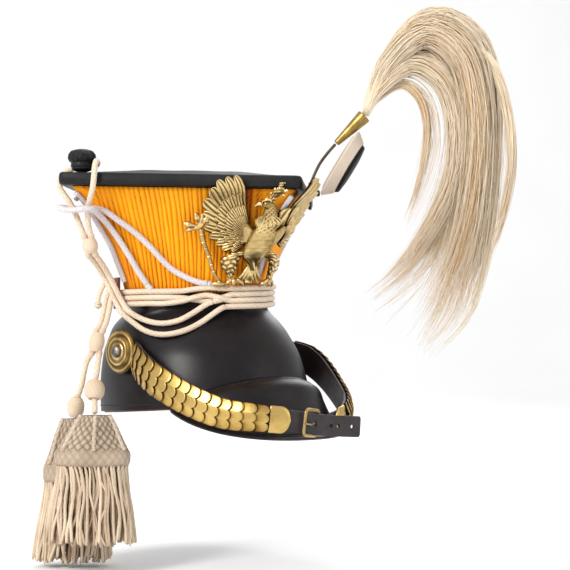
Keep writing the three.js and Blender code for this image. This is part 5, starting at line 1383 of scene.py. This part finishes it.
def eagleHead():
    # brow, eye and hooked beak; the head looks to the wearer's right
    bars = [([(8.5, 166, 7), (11.5, 167.2, 7.4), (14.5, 167.4, 7.4)], (3.4, 3.9, 2.4), 20, 0.5),
            ([(8.5, 170, 8.4), (12, 170.6, 9.6), (15.6, 169, 9)], (1.0, 1.3, 0.7), 8, 0.95),
            ([(13.2, 167.9, 10.2), (14, 167.7, 10.3)], (0.8, 0.7), 8, 0.0),
            ([(14.6, 167.4, 7.8), (17.6, 167.4, 7.8), (19.4, 166, 7.4), (19.4, 164, 7.2)],
             (2.2, 1.7, 1.2, 0.4), 12, 0.85)]
    parts = [plateBar(*bar) for bar in bars]
    # collar feathers that fall from the neck towards the chest
    for i in range(9):
        aside = abs(i - 4)
        parts.append(feather((8.4, 161), 1, 140 + 9 * i, 1, 13 - aside * 0.8, 1.7, 8.6 - 0.25 * aside))
    return parts


def eagleFeet():
    # toes, three to a claw, and small curled tail leaves that fan out between the legs
    parts = []
    for along, lift in ((17, 3), (-2.6, 4.6)):
        for reach in (-4.6, 0, 4.6):
            parts.append(plateBar([(along + reach * 0.4, 108.6, lift + 2), (along + reach, 105.4, lift + 3.4),
                                   (along + reach * 1.2, 102.8, lift + 1.2)], (1.7, 1.4, 0.5), 10, 0.75))
    for turn in (-44, -24, -8, 8, 24, 44):
        spread = math.sin(math.radians(turn))
        rows = [(8.6 + out * spread, z, lift) for out, z, lift in
                ((2, 121, 3), (6, 112.5, 3.6), (11, 107, 3.2), (14, 105.6, 4))]
        parts.append(plateBar(rows, (1.1, 1.6, 1.3, 0.5), 10, 0.72))
    return parts


def sceptre():
    # a knotted shaft from a round foot to a trefoil head
    shaft = [(27, 104.8, 2.6), (34, 112.5, 2.6), (42.5, 126, 2.6), (52, 140, 2.6), (57.5, 149, 2.6)]
    parts = [plateBar(shaft, (1.3, 1.5, 1.7, 1.9, 2.1), 14, 0.62)]
    for along, z, size in ((29, 106.8, 2.1), (35.5, 115, 2.2), (39, 120.5, 2.0), (43, 127, 2.6),
                           (47.5, 133.5, 2.2), (51, 138.5, 2.8), (55, 145, 2.4)):
        parts.append(plateBar([(along - 0.5, z - 0.9, 2.6), (along + 0.5, z + 0.9, 2.6)],
                              (size * 0.8, size, size * 0.8), 14, 0.85))
    parts.append(plateBar([(22.6, 105.4, 2.2), (27, 104.8, 2.8), (31.5, 105, 2.8), (35.6, 104.4, 2.2)],
                          (1.2, 2.2, 1.9, 1.0), 12, 0.7))
    for along, z, size in ((73.6, 153.4, 2.9), (66.6, 161.4, 2.7), (54.8, 158.4, 2.8), (70.2, 147.2, 1.9),
                           (60.6, 160.6, 1.7)):
        leaf = [(58, 150.4, 2.8), ((58 + along * 2) / 3, (150.4 + z * 2) / 3, 3.2), (along, z, 2.4)]
        parts.append(plateBar(leaf, (1.5, 1.2, size, size * 0.5), 12, 0.78))
    return parts


def crownKnobs():
    parts = []
    along, z = 8.6, 175.4
    for turn in fullTurn(7):
        out, up = math.cos(turn), math.sin(turn)
        parts.append(plateBar([(along + 3.4 * out, z + 3.2 * up, 6.5), (along + 4.4 * out, z + 4.2 * up, 7)],
                              (1.3, 1.1), 8, 0.85))
    return parts


def buildEagle():
    parts = buildWing("near") + buildWing("far")
    # inner feathers of the far wing, which close the space behind the body
    for turn, reach in ((10, 24), (22, 28), (34, 28)):
        parts.append(feather((3.6, 141), -1, turn, 6, reach, 3.8, 0.9))
    parts += [limb("body", 80, 52, breastFeathers), limb("head", 30, 24), limb("crown", 50, 48, crownRibs),
              limb("shoulder", 40, 40), limb("farShoulder", 30, 32),
              limb("nearLeg", 64, 44, curls), limb("farLeg", 64, 44, curls)]
    parts += eagleHead() + eagleFeet() + sceptre() + crownKnobs()
    makePiece("eagle_cast", parts, "castBrass", ["eagle_plate"])


buildEagle()
print("eagle ready")


# field badge and plume, which stand in the upright plane across the left front side

def standing(out, z, aside=0.0):
    out, z, aside = matched(out, z, aside)
    return np.stack([(out + aside) * math.sqrt(0.5), back + (aside - out) * math.sqrt(0.5), z], -1)


asideAxis = standing(0, 0, 1) - standing(0, 0)
badge = {"out": 125.3, "z": 208.8, "lean": 31.3, "halfLong": 31.5, "halfWide": 18, "thick": 9.6}
badgeLean = math.radians(badge["lean"])
badgeLong = standing(math.sin(badgeLean), math.cos(badgeLean)) - standing(0, 0)
badgeFace = unit(np.cross(asideAxis, badgeLong))
badgeSide = np.cross(badgeFace, badgeLong)


def ovalBody(rows, halfLong, halfWide, count, relief=None):
    # rows are (share of the full size, height along the axis)
    turn = fullTurn(count)
    rings, tones = [], []
    for share, height in rows:
        extra = relief(turn, share, height) if relief else 0 * turn
        reach = share + extra * 0.02
        rings.append(standing(badge["out"], badge["z"]) + badgeFace * (height + 0.6 * extra)[:, None]
                     + badgeLong * (reach * halfLong * np.cos(turn))[:, None]
                     + badgeSide * (reach * halfWide * np.sin(turn))[:, None])
        # painted shade: the grooves between the threads are darker, the raised threads lighter
        tones.append(0.55 + 0.45 * extra)
    return wrapped(rings, np.array(tones))


def radialThreads(turn, share, height):
    level = math.floor(share * 4.5)
    depth = min(1.0, max(0.0, share * 3))
    return (np.abs(np.sin(54 * turn + level)) - 0.5) * depth * (1 if height > -4.2 else 0.3)


def buildBadge():
    # a pad wound with thread that narrows towards its front, a black middle on it, and a thin rear plate
    face = badge["thick"] / 2
    pad = roundedProfile([(0.03, -face + 0.4), (0.6, -face + 0.2), (0.96, -face), (1, -face * 0.7),
                          (0.79, face - 0.2), (0.76, face), (0.5, face - 0.2), (0.03, face - 0.3)], 7)
    makePiece("badge_threads", [ovalBody(pad, badge["halfLong"], badge["halfWide"], 324, radialThreads)],
              "badgeYarn", ["badge_pad"])
    middle = roundedProfile([(0.04, face + gap), (1, face + gap), (0.92, face + 3.4), (0.5, face + 4.5),
                             (0.04, face + 4.6)], 6)
    makePiece("badge_middle", [ovalBody(middle, badge["halfLong"] * 0.75, badge["halfWide"] * 0.72, 120,
                                        lambda turn, share, height: 0.12 * np.sin(turn * 30) * share)],
              "blackWool", ["badge_centre"])
    rear = [(0.04, -face - gap - 1), (0.92, -face - gap - 1), (0.97, -face - gap - 0.8),
            (1, -face - gap - 0.3), (0.98, -face - gap), (0.04, -face - gap)]
    makePiece("badge_rear", [ovalBody(rear, badge["halfLong"] * 0.84, badge["halfWide"] * 0.8, 96)],
              "badgeYarn", ["badge_backing"])


def slab(rows, halfWide):
    # an upright strip with softened edges; rows go round its outline
    outline = roundedProfile(list(rows) + [rows[0]], 4)[1:]
    middle, bevel = outline.mean(0), 0.35
    flat = halfWide - bevel
    rings = []
    for aside, shrink in ((halfWide, bevel), (flat, 0), (-flat, 0), (-halfWide, bevel)):
        rim = outline + unit(middle - outline) * shrink
        rings.append(standing(rim[:, 0], rim[:, 1], aside))
    return wrapped(rings)


def buildTabAndWire():
    tab = [(95.2, 171), (97.6, 171), (97.6, 193.6), (95.2, 193.6)]
    link = [(96.4, 182), (104.8, 182.6), (104.9, 187), (96.4, 190.5)]
    makePiece("badge_tab_leather", [slab(tab, 6), slab(link, 3.4)], "boardLeather",
              ["badge_tab"])
    wire = [(97.4, 194.4), (101.2, 203.5), (105.6, 211.8), (112.4, 220.7), (118.3, 227.3)]
    line = curveThrough([standing(out, z) for out, z in wire], 0.8)
    makePiece("plume_stem", [barAlong(line, 1.3, 14, 0.5)], "wire", ["plume_wire"])
    base, top = standing(119, 228), standing(143.3, 251.4)
    length = float(np.linalg.norm(top - base))
    cone = roundedProfile([(0, 0), (2.7, 0), (4.5, length * 0.5), (6.3, length - 0.8), (5.9, length),
                           (0, length)], 4)
    makePiece("plume_cone", [turnedBody(cone, base, top - base, 56)], "darkBrass", ["plume_ferrule"])


plumeRoot = (144.1, 252.2, 0)
locks = [
    {"full": 14, "strands": 410, "route": [plumeRoot, (165, 299, 2), (202, 334, 4), (236, 317, 4),
     (249, 264, 4), (247, 190, 5), (238, 121, 5), (223, 76, 4), (190, 44, 2)]},
    {"full": 13, "strands": 360, "route": [plumeRoot, (162, 293, -6), (196, 321, -9), (224, 303, -10),
     (237, 257, -10), (236, 195, -10), (225, 136, -9), (203, 78, -6), (184, 43, -4)]},
    {"full": 13, "strands": 360, "route": [plumeRoot, (156, 282, 6), (188, 307, 9), (214, 292, 9),
     (226, 250, 9), (222, 195, 8), (202, 144, 7), (177, 108, 5), (148, 86, 4)]},
    {"full": 10, "strands": 300, "route": [plumeRoot, (155, 273, -3), (184, 295, -4), (209, 281, -4),
     (221, 248, -4), (219, 202, -4), (200, 155, -3), (172, 117, -2), (141, 91, 0)]},
    {"full": 4.5, "strands": 80, "route": [plumeRoot, (154, 266, 3), (175, 279, 3), (190, 268, 3),
     (197, 243, 3), (195, 220, 3), (187, 187, 2), (171, 147, 2)]},
    {"full": 4.5, "strands": 90, "route": [(226, 318, -3), (250, 298, -5), (264, 258, -5), (268, 212, -5),
     (260, 165, -4), (242, 112, -3)]}]
lockTable = reader({
    "share": (0, 0.12, 0.3, 0.7, 0.9, 1),
    "width": (0.2, 0.7, 1, 1, 0.75, 0.15)})
lockShare = np.linspace(0, 1, 160)
hairSteps = 28


def lockLine(lock):
    fine = curveThrough([standing(*row) for row in lock["route"]], 2.0)
    return alongLock(fine, lockShare, np.linspace(0, 1, len(fine)))


def alongLock(values, run, share=lockShare):
    return np.stack([np.interp(run, share, values[:, k]) for k in range(3)], 1)


def lockAcross(line):
    return unit(np.cross(asideAxis, unit(np.gradient(line, axis=0))))


def lockCore(lock, random):
    # the solid heart of a lock, combed into grooves; it stops short of the wispy end
    share, sides = 0.8 * np.linspace(0, 1, 34) ** 1.1, 36
    line, across = alongLock(lockLine(lock), share), alongLock(lockAcross(lockLine(lock)), share)
    turn = fullTurn(sides)
    combed = 1 + 0.14 * np.convolve(random.normal(0, 1, sides + 2), (0.3, 0.5, 0.3), "valid")
    taper = np.clip((0.82 - share) / 0.4, 0.05, 1)[:, None] ** 0.6
    half = lock["full"] * lockTable("width", share)[:, None] * 0.60 * combed[None, :] * taper
    points = (line[:, None] + across[:, None] * (half * np.cos(turn))[..., None]
              + asideAxis * (0.8 * half * np.sin(turn))[..., None])
    # painted shade: the heart of the lock is dark, as deep inside the hair
    tone = 0.2 + 0.5 * (combed[None, :] - 0.85) + 0 * half
    return wrapped(points, tone)


def lockHairs(index, random):
    # hairs gather in tufts that end in points of their own, and wander between neighbouring locks
    lock, loose = locks[index], index == 5
    own, across = lockLines[index], lockAcross(lockLines[index])
    count = 5 if lock["full"] < 6 else 16
    tufts = [{"turn": 2 * np.pi * (i + random.uniform(0, 0.8)) / count, "depth": random.uniform(0.25, 0.85),
              "reach": random.uniform(0.8, 1.0), "tone": random.normal(0, 0.17)} for i in range(count)]
    parts = []
    for _ in range(lock["strands"]):
        tuft, stray = tufts[random.integers(0, count)], random.uniform() < 0.13
        other = index if loose else int(np.clip(index + random.choice((-1, 1)), 0, 3 + (index == 4)))
        reach = tuft["reach"] * (1 - (0.3 if stray else 0.16) * random.beta(1.1, 2))
        begin = random.uniform(0, 0.12) if loose else 0
        run = begin + (reach - begin) * np.linspace(0, 1, hairSteps) ** 1.15
        mix = random.beta(0.7, 2.6) * np.sin(np.pi * np.minimum(run, 0.75)) ** 0.8
        line = alongLock(own + (lockLines[other] - own) * np.interp(lockShare, run, mix)[:, None], run)
        full = lock["full"] + (locks[other]["full"] - lock["full"]) * mix
        first, low = random.uniform(0, 2 * np.pi), run / reach
        pull = (tuft["turn"] - first + np.pi) % (2 * np.pi) - np.pi
        angle = first + pull * low ** 1.2 * (0.25 if stray else 0.93) + random.normal(0, 0.14) * low
        depth = math.sqrt(random.uniform(0.35, 1.0))
        deep = depth + (tuft["depth"] - depth) * low ** 2 * (0.2 if stray else 0.8)
        swing = np.sin(run * random.uniform(6, 20) + random.uniform(0, 6))
        wave = (0.05 + 0.09 * stray) * swing * np.sqrt(run)
        flare = random.normal(0, 0.5 if stray else 0.09) * run ** 1.5
        half = full * np.maximum(lockTable("width", run), 0.15 + 0.62 * run ** 2) * (deep + wave + flare)
        middle = (line + alongLock(across, run) * (half * np.cos(angle))[:, None]
                  + asideAxis * (0.8 * half * np.sin(angle))[:, None])
        size = random.uniform(0.24, 0.48) * np.linspace(1.2, 0.12, hairSteps) ** 0.7
        # painted shade: hairs that lie deeper in the lock are darker; the tuft and each hair add their own
        # tone
        tone = 0.54 + 0.42 * (depth - 0.6) / 0.4 + tuft["tone"] + random.normal(0, 0.12)
        parts.append(barAlong(middle, size, 3, float(np.clip(tone, 0.02, 1.0))))
    return parts


lockLines = [lockLine(lock) for lock in locks]


def buildPlume():
    random = np.random.default_rng(5)
    makePiece("plume_heart", [lockCore(lock, random) for lock in locks], "horsehair", ["plume"])
    for number, group in enumerate(((0,), (1,), (2,), (3, 4), (5,))):
        parts = [part for index in group for part in lockHairs(index, random)]
        makePiece(f"plume_hair_{number + 1}", parts, "horsehair", ["plume"])


buildBadge()
buildTabAndWire()
buildPlume()
print("badge and plume ready")


# floor and light

def backdropLook(tree):
    tone = ramp(tree, noise(tree, 3, 2, 0.55), [(0.3, (0.90,)), (0.7, (0.93,))])
    dress(tree, {"Base Color": tone, "Roughness": 0.9})


def buildStage():
    # a level floor that bends up into a wall behind the cap
    floorLevel, bend = cadBox[0][2] - 0.002, 0.9
    profile = [(-3.0, floorLevel), (1.6, floorLevel)]
    profile += [(1.6 + bend * math.sin(a), floorLevel + bend * (1 - math.cos(a)))
                for a in np.linspace(0.1, 1.57, 14)]
    profile.append((2.5, cadBox[0][2] + 4.0))
    heading, halfWide = math.radians(-38), 7.0
    points = []
    for side in (-halfWide, halfWide):
        for reach, height in profile:
            points.append((-math.sin(heading) * reach + math.cos(heading) * side,
                           math.cos(heading) * reach + math.sin(heading) * side, height))
    mesh = bpy.data.meshes.new("backdrop")
    count = len(profile)
    mesh.from_pydata(points, [], [(i, i + 1, count + i + 1, count + i) for i in range(count - 1)])
    mesh.materials.append(makeLook("backdrop", backdropLook))
    smoothFaces(mesh)
    addObject("backdrop", mesh)


lightTarget = Vector((0, 0, 0.1))


def addLight(name, place, size, power, colour=(1, 1, 1)):
    data = bpy.data.lights.new(name, "AREA")
    data.shape, data.size, data.energy, data.color = "DISK", size, power, colour
    light = addObject(name, data)
    light.location = place
    light.rotation_euler = (lightTarget - Vector(place)).to_track_quat("-Z", "Y").to_euler()


def buildLights():
    addLight("key", (-1.7, -0.3, 1.0), 0.7, 24, (1, 0.98, 0.95))
    addLight("fill", (0.9, -1.8, 0.7), 1.4, 5, (0.97, 0.97, 1))
    addLight("top", (0.3, 0.3, 1.9), 0.9, 10)
    addLight("rear", (1.3, 0.9, 0.8), 0.8, 6)
    world = bpy.data.worlds.new("studio")
    bpy.context.scene.world = world
    world.use_nodes = True
    sky = world.node_tree.nodes["Background"]
    sky.inputs["Color"].default_value = (0.98, 0.985, 1.0, 1)
    sky.inputs["Strength"].default_value = 0.85


buildStage()
buildLights()
print("stage ready")
